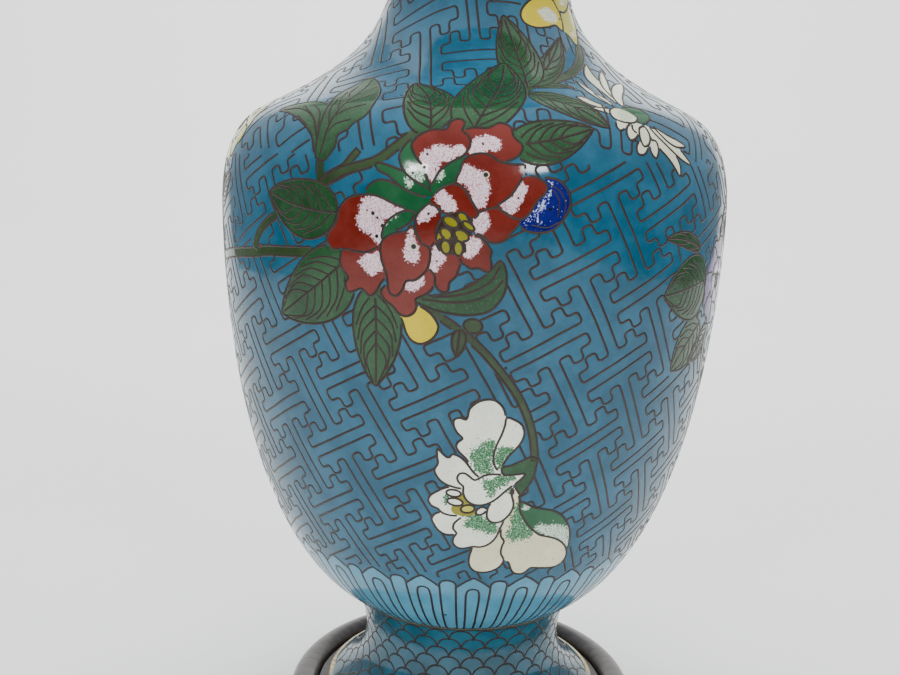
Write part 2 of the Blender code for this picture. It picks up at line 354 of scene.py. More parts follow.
class Motif:
    """Cells and wires drawn flat in mm round an anchor on the vase.

    A cell covers the cells drawn before it.  A glow is a disc (x, y, radius) in which the
    cell's second colour shows.
    """

    def __init__(self, angle, s, mirror=False):
        self.theta = radians(angle)
        self.s = s
        self.mirror = mirror
        self.cells = []
        self.wires = []

    def surface(self, points):
        x, y = np.array(points, float).T
        if self.mirror:
            x = -x
        s = self.s + y
        return self.theta + x / BODY.radius(s), s

    def cell(self, kind, points, glow=(), wired=True, is_smooth=True):
        line = smooth(points) if is_smooth else np.array(points, float)
        self.cells.append((kind, line, glow))
        if wired:
            self.wire(line, closed=True, drawn=True)
        return line

    def wire(self, points, closed=False, drawn=False, width=None):
        line = np.array(points, float) if drawn else smooth(points, closed)
        self.wires.append((len(self.cells), line, closed, width))

    def ellipse(self, kind, centre, half_length, half_width, angle=0.0, glow=()):
        c, d = cos(radians(angle)), sin(radians(angle))
        points = []
        for i in range(12):
            u, v = half_length * cos(i * tau / 12), half_width * sin(i * tau / 12)
            points.append((centre[0] + u * c - v * d, centre[1] + u * d + v * c))
        self.cell(kind, points, glow)

    def stem(self, points, width):
        """A stem between two wires."""
        line = smooth(points, closed=False, step=1.5)
        along = np.gradient(line, axis=0)
        along /= np.linalg.norm(along, axis=1)[:, None]
        side = np.stack([-along[:, 1], along[:, 0]], axis=1)
        half = width / 2
        outline = np.vstack([line + side * half, (line - side * half)[::-1]])
        self.cell("stem", outline, is_smooth=False)

    def leaf(self, base, tip, left, right, bend=0.0, veins=5, kind="leaf"):
        """A pointed leaf with its midrib and curved side veins; bend moves the middle to the left."""
        base, tip = np.array(base, float), np.array(tip, float)
        reach = tip - base
        length = hypot(*reach)
        along = reach / length
        across = np.array([-along[1], along[0]])

        def rib(t):
            return base + reach * t + across * bend * 4 * t * (1 - t)

        def side(t, share):
            whole = LEAF_ROOT + LEAF_TIP
            shape = (t**LEAF_ROOT * (1 - t) ** LEAF_TIP) / (LEAF_ROOT / whole) ** LEAF_ROOT
            shape /= (LEAF_TIP / whole) ** LEAF_TIP
            return rib(t) + across * shape * share

        steps = [0.0, 0.04, 0.12, 0.24, 0.38, 0.54, 0.70, 0.84, 0.94]
        outline = [side(t, left) for t in steps] + [tip]
        outline += [side(t, -right) for t in reversed(steps[1:])]
        self.cell(kind, outline)
        self.wire([rib(t) for t in (0.0, 0.2, 0.4, 0.6, 0.8, 0.97)])
        for i in range(veins):
            start = 0.06 + 0.62 * i / veins
            reach_t = min(0.97, start + 0.34 + 0.1 * i / veins)
            for share in (left, -right):
                middle = start + (reach_t - start) * 0.42
                self.wire([rib(start), side(middle, share * 0.58), side(reach_t, share * 0.86)], width=VEIN)

    def pit(self, x, y, radius, ring=False):
        if ring:
            self.ellipse_plain("pit_rim", (x, y), radius * 1.5)
        self.ellipse_plain("pit", (x, y), radius)

    def ellipse_plain(self, kind, centre, radius):
        points = [(centre[0] + radius * cos(i * tau / 10), centre[1] + radius * sin(i * tau / 10))
                  for i in range(10)]
        self.cell(kind, points, wired=False, is_smooth=False)

    def outlines(self):
        """Every cell's outline as (angle, arc length)."""
        return [np.stack(self.surface(line), axis=1) for _, line, _ in self.cells]

    def inlay(self):
        """Cuts the overlapping cells into one layer; gives points, triangles and tone by kind."""
        corners, faces = [], []
        for _, line, _ in self.cells:
            x, y = line.T
            is_clockwise = (x * np.roll(y, -1) - y * np.roll(x, -1)).sum() < 0
            faces.append(list(range(len(corners), len(corners) + len(line))))
            corners.extend(line[::-1] if is_clockwise else line)
        whole = np.array(corners)
        lowest, highest = whole.min(axis=0), whole.max(axis=0)
        rows = np.arange(lowest[1], highest[1], CELL_STEP * 0.87)
        columns = np.arange(lowest[0], highest[0], CELL_STEP)
        grid = np.array([(x + (j % 2) * CELL_STEP / 2, y) for j, y in enumerate(rows) for x in columns])
        if len(grid):
            kept = np.zeros(len(grid), bool)
            for _, line, _ in self.cells:
                kept |= inside(line, grid)
            corners.extend(grid[kept])
        given = [Vector((p[0], p[1])) for p in corners]
        points, _, triangles, _, _, sources = delaunay_2d_cdt(given, [], faces, 1, 1e-4)
        flat = np.array([(p[0], p[1]) for p in points])
        owned = {}
        for triangle, source in zip(triangles, sources):
            if source:
                owned.setdefault(max(source), []).append(triangle)
        made = {}
        for index, mine in owned.items():
            kind, _, glow = self.cells[index]
            used, renumbered = np.unique(np.array(mine), return_inverse=True)
            local = flat[used]
            tone = np.zeros(len(local))
            for x, y, radius in glow:
                gap = np.hypot(local[:, 0] - x, local[:, 1] - y)
                tone = np.maximum(tone, np.clip(1.5 - gap / radius, 0, 1))
            made.setdefault(kind, []).append((local, renumbered.reshape(-1, 3), tone))
        return made

    def make(self, name):
        """Adds the motif's cells as pieces, one a kind, and its wires to a wire mesh."""
        for kind, parts in self.inlay().items():
            points, faces, tones, normals = [], [], [], []
            count = 0
            for local, triangles, tone in parts:
                theta, s = self.surface(local)
                points.append(BODY.places(theta, s, CELL_LIFT))
                normals.append(BODY.normals(theta, s))
                faces.append((triangles[:, ::-1] if self.mirror else triangles) + count)
                tones.append(tone)
                count += len(local)
            obj = piece(f"{name}_{kind}", np.vstack(points), np.vstack(faces), materials[kind],
                        "vase")
            attribute = obj.data.attributes.new("tone", "FLOAT", "POINT")
            attribute.data.foreach_set("value", np.concatenate(tones).astype(np.float32))
            obj.data.normals_split_custom_set_from_vertices(np.vstack(normals).tolist())
        wires = Wires(BODY)
        for order, line, closed, width in self.wires:
            visible = np.ones(len(line), bool)
            for _, polygon, _ in self.cells[order:]:
                visible &= ~covered(polygon, line, MERGE)
            for indices, whole in runs(visible, closed):
                theta, s = self.surface(line[indices])
                wires.add(theta, s, whole, width)
        wires.make(f"{name}_wires")


# ---- key fret ----

FRET_UPPER = ((2.5, -2), (-1, -2), (-1, -1), (0, -1), (0, 0), (1, 0), (1, -1), (2, -1), (2, 2.5))
FRET_LOWER = tuple((-a, -b) for a, b in FRET_UPPER)
FRET_ROUNDING = 0.36       # of a unit, at each bend
FRET_UNITS = 5             # between neighbouring nodes
WOBBLE = 0.22              # mm that the hand-bent wires stray
WOBBLE_REACH = 9.0         # mm over which the straying changes
HALVINGS = 5               # steps to find where a wire meets a cell
NODE_REACH = 60            # nodes looked at to each side of the anchor
WOBBLE_SEED = 7            # not 0, which would seed by the clock


def fret_line(points, mirrored, step):
    """One wire of a fret node in units, its bends rounded."""
    run = np.array(points, float)
    if mirrored:
        run = run * (-1, 1)
    made = [run[:1]]
    for before, corner, after in zip(run, run[1:], run[2:]):
        enter = corner + (before - corner) / hypot(*(before - corner)) * FRET_ROUNDING
        leave = corner + (after - corner) / hypot(*(after - corner)) * FRET_ROUNDING
        t = np.linspace(0, 1, 5)[:, None]
        made.append((1 - t) ** 2 * enter + 2 * t * (1 - t) * corner + t**2 * leave)
    made.append(run[-1:])
    rough = np.vstack(made)
    fine = []
    for a, b in zip(rough, rough[1:]):
        count = max(1, int(hypot(*(b - a)) / step))
        fine.append(a + (b - a) * (np.arange(count)[:, None] / count))
    return np.vstack(fine + [rough[-1:]])


noise.seed_set(WOBBLE_SEED)


def wobble(x, y, seed):
    shift = np.array([noise.noise_vector(Vector((a / WOBBLE_REACH, b / WOBBLE_REACH, seed)))
                      for a, b in zip(x, y)])
    return x + shift[:, 0] * WOBBLE, y + shift[:, 1] * WOBBLE


def edge_between(shown, hidden, cells):
    """Where a wire meets the cell that hides it, found by halving."""
    polygons = [p for p in cells if covered(p, hidden[None], 0.0)[0]]
    if not polygons or abs(hidden[0] - shown[0]) > FLAT_RADIUS:
        return None
    for _ in range(HALVINGS):
        middle = (shown + hidden) / 2
        if any(inside(p, middle[None])[0] for p in polygons):
            hidden = middle
        else:
            shown = middle
    return shown


def fret(nodes, to_surface, s_low, s_high, cells, seed):
    """Wires of the fret nodes (x, y, a vector, b vector, mirrored), cut by the cells over them."""
    wires = Wires(BODY)
    for x, y, a, b, mirrored in nodes:
        for half in (FRET_UPPER, FRET_LOWER):
            line = fret_line(half, mirrored, 0.5)
            px = x + (line[:, 0] * a[0] + line[:, 1] * b[0]) / FRET_UNITS
            py = y + (line[:, 0] * a[1] + line[:, 1] * b[1]) / FRET_UNITS
            px, py = wobble(px, py, seed)
            theta, s = to_surface(px, py)
            visible = (s > s_low) & (s < s_high)
            wrapped = (theta + pi) % tau - pi
            flat = np.stack([wrapped * FLAT_RADIUS, s], axis=1)
            for polygon in cells:
                if visible.any():
                    visible &= ~covered(polygon, flat, 0.0)
            for indices, _ in runs(visible, False):
                run = flat[indices]
                ends = []
                for last, beyond in ((indices[0], indices[0] - 1), (indices[-1], indices[-1] + 1)):
                    if 0 <= beyond < len(flat) and s_low < s[beyond] < s_high:
                        ends.append(edge_between(flat[last], flat[beyond], cells))
                    else:
                        ends.append(None)
                run = np.vstack([p[None] for p in ends[:1] if p is not None] + [run]
                                + [p[None] for p in ends[1:] if p is not None])
                if np.hypot(*np.diff(run, axis=0).T).sum() > SHORTEST_SCRAP:
                    wires.add(run[:, 0] / FLAT_RADIUS, run[:, 1])
    return wires


def periodic_nodes(length, along, across, y_low, y_high, anchor):
    """Nodes of a fret that closes round the vase after `along` steps of a and `across` of b."""
    side = length / hypot(along, across)
    tilt = atan2(across, along)
    a = (side * cos(tilt), side * sin(tilt))
    b = (side * sin(tilt), -side * cos(tilt))
    found = []
    for i in range(-NODE_REACH, NODE_REACH):
        for j in range(-NODE_REACH, NODE_REACH):
            x = anchor[0] + i * a[0] + j * b[0]
            y = anchor[1] + i * a[1] + j * b[1]
            if -length / 2 <= x < length / 2 and y_low - side < y < y_high + side:
                found.append((x, y, a, b, (i + j) % 2 == 1))
    return found


BODY_FRET_TOP = 124.0      # arc lengths where one fret gives way to the next
NECK_FRET_FOOT = 183.0
BODY_FRET_STRETCH = 1.08
BODY_FRET_STEPS = (26, 14)         # steps along and across that close the fret round the vase
BODY_FRET_ANCHOR = (28.7, 72.1)    # angle and arc length of one node
NECK_FRET_STEPS = (10, 4)
NECK_FRET_ANCHOR = (4.0, 5.0)      # mm from the front and above the neck fret's foot
SHOULDER_FRET_ANCHOR = (-6.3, 149.6)
SHOULDER_FRET_RADIUS = 58.0        # where the fan of the shoulder fret is measured from
SHOULDER_FRET_REACH = (16, 12)
SHOULDER_FRET_MARGIN = 14.0
FOOT_OF_FRET = 0.4                 # gap to the lappets
HEAD_OF_FRET = 1.0                 # gap to the mouth's ring
SHOULDER_RHO = 84.0
SHOULDER_TURN = 0.69
SHOULDER_A = 13.0
SHOULDER_B = 19.0
SHOULDER_TILT = radians(7)


def body_fret(s_low, s_high, cells):
    length = tau * BODY_RADIUS
    angle, arc = BODY_FRET_ANCHOR
    anchor = (radians(angle) * BODY_RADIUS, arc * BODY_FRET_STRETCH)
    nodes = periodic_nodes(length, *BODY_FRET_STEPS, s_low * BODY_FRET_STRETCH,
                           s_high * BODY_FRET_STRETCH, anchor)
    return fret(nodes, lambda x, y: (x / BODY_RADIUS, y / BODY_FRET_STRETCH), s_low, s_high, cells, 1.7)


def shoulder_fret(s_low, s_high, cells):
    upper = BODY.s > BODY.arc(BELLY)
    start = float(np.interp(-SHOULDER_FRET_RADIUS, -BODY.r[upper], BODY.s[upper]))

    def to_chart(theta, s):
        rho = SHOULDER_RHO - (s - start)
        return rho * sin(SHOULDER_TURN * theta), -rho * cos(SHOULDER_TURN * theta)

    def to_surface(x, y):
        return np.arctan2(x, -y) / SHOULDER_TURN, SHOULDER_RHO - np.hypot(x, y) + start

    angle, arc = SHOULDER_FRET_ANCHOR
    anchor = to_chart(radians(angle), arc)
    a = (SHOULDER_A * cos(SHOULDER_TILT), SHOULDER_A * sin(SHOULDER_TILT))
    b = (SHOULDER_B * sin(SHOULDER_TILT), -SHOULDER_B * cos(SHOULDER_TILT))
    nodes = []
    reach_a, reach_b = SHOULDER_FRET_REACH
    margin = SHOULDER_FRET_MARGIN
    for i in range(-reach_a, reach_a + 1):
        for j in range(-reach_b, reach_b + 1):
            x = anchor[0] + i * a[0] + j * b[0]
            y = anchor[1] + i * a[1] + j * b[1]
            theta, s = to_surface(np.array([x]), np.array([y]))
            if abs(theta[0]) < pi and s_low - margin < s[0] < s_high + margin:
                nodes.append((x, y, a, b, (i + j) % 2 == 1))
    return fret(nodes, to_surface, s_low, s_high, cells, 5.1)


def neck_fret(s_low, s_high, cells):
    length = tau * NECK_RADIUS
    x, rise = NECK_FRET_ANCHOR
    nodes = periodic_nodes(length, *NECK_FRET_STEPS, s_low, s_high, (x, s_low + rise))
    return fret(nodes, lambda x, y: (x / NECK_RADIUS, y), s_low, s_high, cells, 9.3)


# ---- materials ----

PIT_SCALE = 260.0          # candidates for a pinhole to a metre
PIT_PICK = 0.955           # share of the candidates that stay closed
PIT_SIZE = 0.10


def srgb(*screen):
    """Linear colour from screen values 0 to 255."""
    linear = [((c / 255 + 0.055) / 1.055) ** 2.4 if c > 10 else c / 255 / 12.92 for c in screen]
    return (*linear, 1.0)


class Look:
    """A material and short ways to add nodes to it."""

    def __init__(self, name, roughness, metallic=0.0):
        self.material = bpy.data.materials.new(name)
        self.material.use_nodes = True
        self.tree = self.material.node_tree
        self.shader = self.tree.nodes["Principled BSDF"]
        self.shader.inputs["Roughness"].default_value = roughness
        self.shader.inputs["Metallic"].default_value = metallic
        self.place = self.node("ShaderNodeTexCoord").outputs["Object"]

    def node(self, kind, inputs=None, **settings):
        made = self.tree.nodes.new(kind)
        for key, value in settings.items():
            setattr(made, key, value)
        for key, value in (inputs or {}).items():
            self.feed(made.inputs[key], value)
        return made

    def feed(self, socket, value):
        if isinstance(value, bpy.types.NodeSocket):
            self.tree.links.new(value, socket)
        else:
            socket.default_value = value

    def noise(self, scale, detail=2.0, rough=0.5):
        made = self.node("ShaderNodeTexNoise", {"Vector": self.place, "Scale": scale, "Detail": detail,
                                                "Roughness": rough})
        return made.outputs["Fac"]

    def math(self, operation, a, b):
        made = self.node("ShaderNodeMath", operation=operation)
        self.feed(made.inputs[0], a)
        self.feed(made.inputs[1], b)
        return made.outputs[0]

    def spread(self, value, from_low, from_high, to_low=0.0, to_high=1.0):
        made = self.node("ShaderNodeMapRange", {"Value": value, "From Min": from_low, "From Max": from_high,
                                                "To Min": to_low, "To Max": to_high},
                         interpolation_type="SMOOTHSTEP")
        return made.outputs["Result"]

    def mix(self, factor, a, b):
        made = self.node("ShaderNodeMix", data_type="RGBA")
        self.feed(made.inputs[0], factor)
        self.feed(made.inputs[6], a)
        self.feed(made.inputs[7], b)
        return made.outputs[2]

    def attribute(self, name):
        return self.node("ShaderNodeAttribute", attribute_name=name).outputs["Fac"]

    def bump(self, height, distance):
        made = self.node("ShaderNodeBump", {"Height": height, "Distance": distance})
        self.feed(self.shader.inputs["Normal"], made.outputs["Normal"])

    def colour(self, value):
        self.feed(self.shader.inputs["Base Color"], value)

    def pits(self, colour):
        """Scattered dark pinholes in fired enamel."""
        chosen = self.node("ShaderNodeTexVoronoi", {"Vector": self.place, "Scale": PIT_SCALE})
        picked = self.math("GREATER_THAN", self.node("ShaderNodeSeparateColor", {
            "Color": chosen.outputs["Color"]}).outputs[0], PIT_PICK)
        hole = self.math("LESS_THAN", chosen.outputs["Distance"], PIT_SIZE)
        return self.mix(self.math("MULTIPLY", picked, hole), colour, srgb(22, 24, 26))


def enamel(name, base, other=None, grain=0.0, fleck=None, variation=0.12, roughness=0.10):
    """Polished glass enamel; other shows where the tone attribute is high, with a ragged edge."""
    look = Look(name, roughness)
    light = tuple(min(1.0, c * (1 + variation) + 0.01) for c in base[:3]) + (1.0,)
    dark = tuple(c * (1 - variation) for c in base[:3]) + (1.0,)
    colour = look.mix(look.spread(look.noise(90.0, 4.0, 0.65), 0.35, 0.65), dark, light)
    fine = look.noise(2300.0, 2.0)
    if fleck:
        colour = look.mix(look.spread(fine, 0.56, 0.70, 0.0, 0.55), colour, fleck)
    if other:
        tone = look.attribute("tone")
        ragged = look.math("ADD", tone, look.math("MULTIPLY", look.math("SUBTRACT", fine, 0.5), grain))
        shade = look.mix(look.spread(look.noise(3600.0, 1.0), 0.46, 0.64), other[0], other[1])
        colour = look.mix(look.spread(ragged, 0.42, 0.62), colour, shade)
    look.colour(look.pits(colour))
    look.shader.inputs["IOR"].default_value = 1.52
    look.shader.inputs["Specular IOR Level"].default_value = 0.36
    look.bump(look.noise(220.0, 2.0), 0.00006)
    return look.material


def wire_metal():
    look = Look("cloison_wire", 0.42, 0.15)
    look.colour(look.mix(look.noise(400.0, 3.0), srgb(18, 12, 12), srgb(56, 38, 30)))
    return look.material


def gilt_metal():
    look = Look("worn_gilt", 0.34, 0.85)
    wear = look.spread(look.noise(160.0, 5.0, 0.7), 0.42, 0.60)
    look.colour(look.mix(wear, srgb(176, 158, 112), srgb(150, 150, 138)))
    look.feed(look.shader.inputs["Roughness"], look.spread(look.noise(600.0, 3.0), 0.3, 0.7, 0.25, 0.55))
    look.bump(look.noise(900.0, 3.0), 0.00008)
    return look.material


def bronze_wire():
    look = Look("ring_wire", 0.36, 0.7)
    look.colour(look.mix(look.noise(500.0, 3.0), srgb(44, 42, 38), srgb(92, 88, 74)))
    return look.material


def sheet_copper():
    look = Look("sheet_copper", 0.35, 1.0)
    look.colour(look.mix(look.noise(120.0, 4.0), srgb(180, 104, 74), srgb(214, 150, 116)))
    return look.material


def hardwood(name, dark, light, roughness):
    look = Look(name, roughness)
    stretched = look.node("ShaderNodeMapping", {"Vector": look.place, "Scale": (60.0, 700.0, 700.0)})
    grain = look.node("ShaderNodeTexNoise", {"Vector": stretched.outputs["Vector"], "Scale": 1.0,
                                             "Detail": 4.0, "Roughness": 0.6}).outputs["Fac"]
    look.colour(look.mix(look.spread(grain, 0.35, 0.68), dark, light))
    look.shader.inputs["Coat Weight"].default_value = 0.35
    look.shader.inputs["Coat Roughness"].default_value = 0.18
    look.bump(grain, 0.00008)
    return look.material


def plain_stage(name, base, variation):
    look = Look(name, 0.55)
    darker = tuple(c * (1 - variation) for c in base[:3]) + (1.0,)
    look.colour(look.mix(look.spread(look.noise(6.0, 3.0), 0.3, 0.7), darker, base))
    return look.material


GROUND = srgb(20, 86, 114)
GREEN_SPECKS = (srgb(34, 96, 56), srgb(120, 170, 130))
materials = {
    "ground": enamel("turquoise", GROUND, variation=0.16),
    "pale": enamel("pale_blue", srgb(74, 138, 166), variation=0.10),
    "scale": enamel("scale_blue", srgb(32, 86, 106), variation=0.2),
    "lining": enamel("counter_enamel", srgb(46, 112, 146), variation=0.3, roughness=0.22),
    "red": enamel("iron_red", srgb(106, 24, 12), (srgb(238, 218, 226), srgb(196, 140, 160)), 1.2,
                  fleck=srgb(88, 22, 14), variation=0.10),
    "white": enamel("white", srgb(236, 240, 226), GREEN_SPECKS, 2.2,
                    fleck=srgb(206, 204, 172), variation=0.06),
    "ivory": enamel("ivory", srgb(228, 224, 188), GREEN_SPECKS, 2.2,
                    fleck=srgb(188, 180, 140), variation=0.08),
    "cream": enamel("cream", srgb(214, 216, 190), (srgb(172, 192, 160), srgb(200, 206, 178)), 1.2,
                    fleck=srgb(196, 190, 168), variation=0.06),
    "leaf": enamel("leaf_green", srgb(24, 68, 34), fleck=srgb(66, 104, 70), variation=0.22),
    "sepal": enamel("sepal_green", srgb(20, 84, 48), (srgb(214, 228, 214), srgb(100, 150, 116)), 1.6,
                    variation=0.14),
    "stem": enamel("stem_green", srgb(40, 62, 32), fleck=srgb(70, 60, 34), variation=0.2),
    "olive": enamel("olive_yellow", srgb(128, 124, 10), variation=0.15),
    "seedbed": enamel("seed_bed", srgb(48, 34, 22), variation=0.2),
    "yellow": enamel("yellow", srgb(206, 184, 0), (srgb(226, 226, 206), srgb(160, 166, 150)), 1.3,
                     fleck=srgb(176, 160, 0), variation=0.06),
    "lemon": enamel("pale_yellow", srgb(190, 184, 60), (srgb(226, 222, 190), srgb(160, 150, 90)), 1.4,
                    fleck=srgb(180, 178, 84), variation=0.08),
    "cobalt": enamel("cobalt", srgb(4, 6, 104), (srgb(196, 206, 236), srgb(30, 44, 150)), 2.4,
                     variation=0.2),
    "purple": enamel("purple", srgb(62, 44, 112), (srgb(196, 186, 220), srgb(120, 100, 160)), 1.5,
                     variation=0.12),
    "pink": enamel("pink", srgb(160, 70, 78), (srgb(238, 222, 216), srgb(200, 130, 130)), 1.4,
                   fleck=srgb(170, 84, 92), variation=0.08),
    "pit": enamel("pit", srgb(20, 22, 22), variation=0.3, roughness=0.4),
    "pit_rim": enamel("pit_rim", srgb(206, 196, 178), variation=0.1),
    "wire": wire_metal(),
    "gilt": gilt_metal(),
    "ring": bronze_wire(),
    "copper": sheet_copper(),
    "wood": hardwood("stand_wood", srgb(30, 20, 20), srgb(58, 44, 44), 0.42),
    # painted shade: the recess floor's colours are darker than the stand's wood, for the shade in the recess
    # under the vase; its grain is the wood's own
    "recess": hardwood("recess_wood", srgb(24, 16, 16), srgb(44, 34, 34), 0.55),
}


# ---- motifs of the front, used mirrored at the back ----

PEONY_ANGLE, PEONY_S = -3.0, 109.0
WHITE_ANGLE, WHITE_S = 5.0, 51.0
BACK_ANGLE = 184.0
BACK_DROP = 4.0            # the back's sprays sit this much lower
BACK_LOW_SHIFT = 8.0       # degrees that the back's lower spray is turned


def front_leaves(m):
    m.stem([(-29, -5.4), (-35, -5.6), (-41, -5.9), (-46, -6.1), (-51, -6.8), (-58, -7.4), (-66, -8.2),
        (-75, -9.5)], 2.1)
    m.stem([(-42.4, 1.9), (-46, 0), (-49, -2.2), (-51.4, -5.8)], 1.7)
    m.stem([(-29.8, 8.2), (-29.8, 12), (-30.2, 16.5), (-30.8, 20)], 1.9)
    m.stem([(-24.2, 11.8), (-22.4, 14), (-20.8, 15.8)], 1.4)
    m.stem([(-29.4, 8.8), (-25, 11.2), (-20.5, 12.5), (-16.5, 13.8), (-12.5, 16.8), (-8.6, 20.2)], 1.8)
    m.leaf((-25.3, 3.0), (-44.8, 6.7), 6.3, 6.0, 1.0, 5)
    m.leaf((-22.5, -6.0), (-41.2, -19.4), 8.2, 6.6, 0.5, 6)
    m.leaf((-16.6, -11.5), (-16.5, -32.8), 5.5, 5.3, 0.3, 5)
    m.cell("leaf", [(-30.5, 27.5), (-34, 28.8), (-40, 28.3), (-46.4, 26), (-42, 25), (-37, 22.5), (-33, 19),
        (-31.5, 15), (-30, 18)])
    m.wire([(-31, 17.5), (-33.5, 23.5), (-38, 26.2), (-44.5, 26.1)])
    m.wire([(-31.4, 20), (-32, 25), (-34.6, 27.6)], width=VEIN)
    m.wire([(-34.2, 24.4), (-37.6, 27.4)], width=VEIN)
    m.wire([(-34.8, 21.4), (-38.4, 24.0)], width=VEIN)
    m.cell("leaf", [(-28.9, 13.5), (-27.6, 14.9), (-26.4, 16.6), (-26, 19), (-23.7, 20.4), (-22.8, 21.6),
        (-19.9, 24), (-18.3, 30), (-18.5, 35), (-21.8, 40.8), (-26.5, 36), (-29, 32), (-30, 28),
        (-31.2, 19), (-31, 14)])
    m.wire([(-30, 15), (-28.4, 22), (-25.4, 29), (-22.6, 35), (-21.6, 39.6)])
    for start, middle, end in (((-28.9, 19.6), (-27.0, 21.6), (-23.4, 22.8)),
                               ((-27.8, 23.6), (-25.0, 25.6), (-20.4, 27.4)),
                               ((-26.0, 27.6), (-23.2, 29.6), (-19.2, 32.2)),
                               ((-24.2, 31.4), (-21.8, 33.6), (-19.4, 36.0)),
                               ((-28.6, 21.6), (-29.2, 25.6), (-28.4, 29.6)),
                               ((-27.0, 25.6), (-27.6, 29.4), (-26.6, 33.4)),
                               ((-25.2, 29.6), (-25.8, 32.8), (-24.4, 36.4))):
        m.wire([start, middle, end], width=VEIN)
    m.stem([(11.5, 30), (13.6, 36.4), (18.5, 40.2), (22.8, 43.8), (26.4, 49.2), (28.2, 54), (28.4, 58),
        (27, 62.5)], 2.5)
    m.leaf((14.2, 37.2), (24.4, 37.6), 1.4, 1.2, 0.9, 0)
    m.leaf((14.0, 33.6), (31.4, 22.3), 3.4, 3.6, 0.6, 4)
    m.leaf((14.3, 37.5), (22.0, 59.5), 2.8, 4.0, -0.2, 4)
    m.leaf((13.4, 37.0), (7.0, 64.6), 5.0, 5.0, -0.8, 5)
    m.leaf((-5.8, 19.6), (-10.8, 37.6), 5.6, 5.4, -1.5, 5)
    m.leaf((2.2, 19.4), (7.8, 47.9), 7.4, 6.6, -1.8, 6)
    m.leaf((10.2, 17.6), (27.6, 21.9), 4.8, 4.9, -0.8, 5)
    m.leaf((62.0, -3.9), (48.3, -1.2), 1.7, 1.9, -0.9, 2)
    m.leaf((66.0, -21.0), (54.0, -31.0), 5.6, 4.6, -0.6, 4)
    m.leaf((67.0, -11.0), (49.0, -13.6), 7.6, 7.2, 0.2, 6)
    m.stem([(-7.2, -13.6), (-3.6, -16.6), (0, -19), (3, -21.3), (6.5, -24.6), (10, -28.8), (13.2, -33.2),
        (15.6, -38), (17.1, -43), (17.8, -48.5)], 1.5)
    m.leaf((1.3, -19.8), (0.7, -25.4), 1.5, 1.4, 0.0, 0, kind="stem")
    m.ellipse("stem", (3.9, -18.9), 1.9, 1.5, -10)
    m.cell("leaf", [(9.1, -5.5), (6.7, -7.9), (3.2, -10.6), (-0.7, -12.1), (-4, -12.8), (-7.8, -13.2),
        (-7.4, -14.4), (-3.2, -15.9), (0.6, -16.6), (4.3, -16.5), (7.1, -15.7), (8.9, -14), (10.1, -11.8),
        (10.4, -9), (9.9, -6.6)])
    m.wire([(-7.2, -13.6), (-0.4, -14.1), (4.6, -13.4), (8.0, -11.4), (9.8, -9.3)])
    m.wire([(-4.6, -13.2), (0.2, -12.7), (4.0, -11.6), (7.4, -9.4), (9.0, -6.6)])


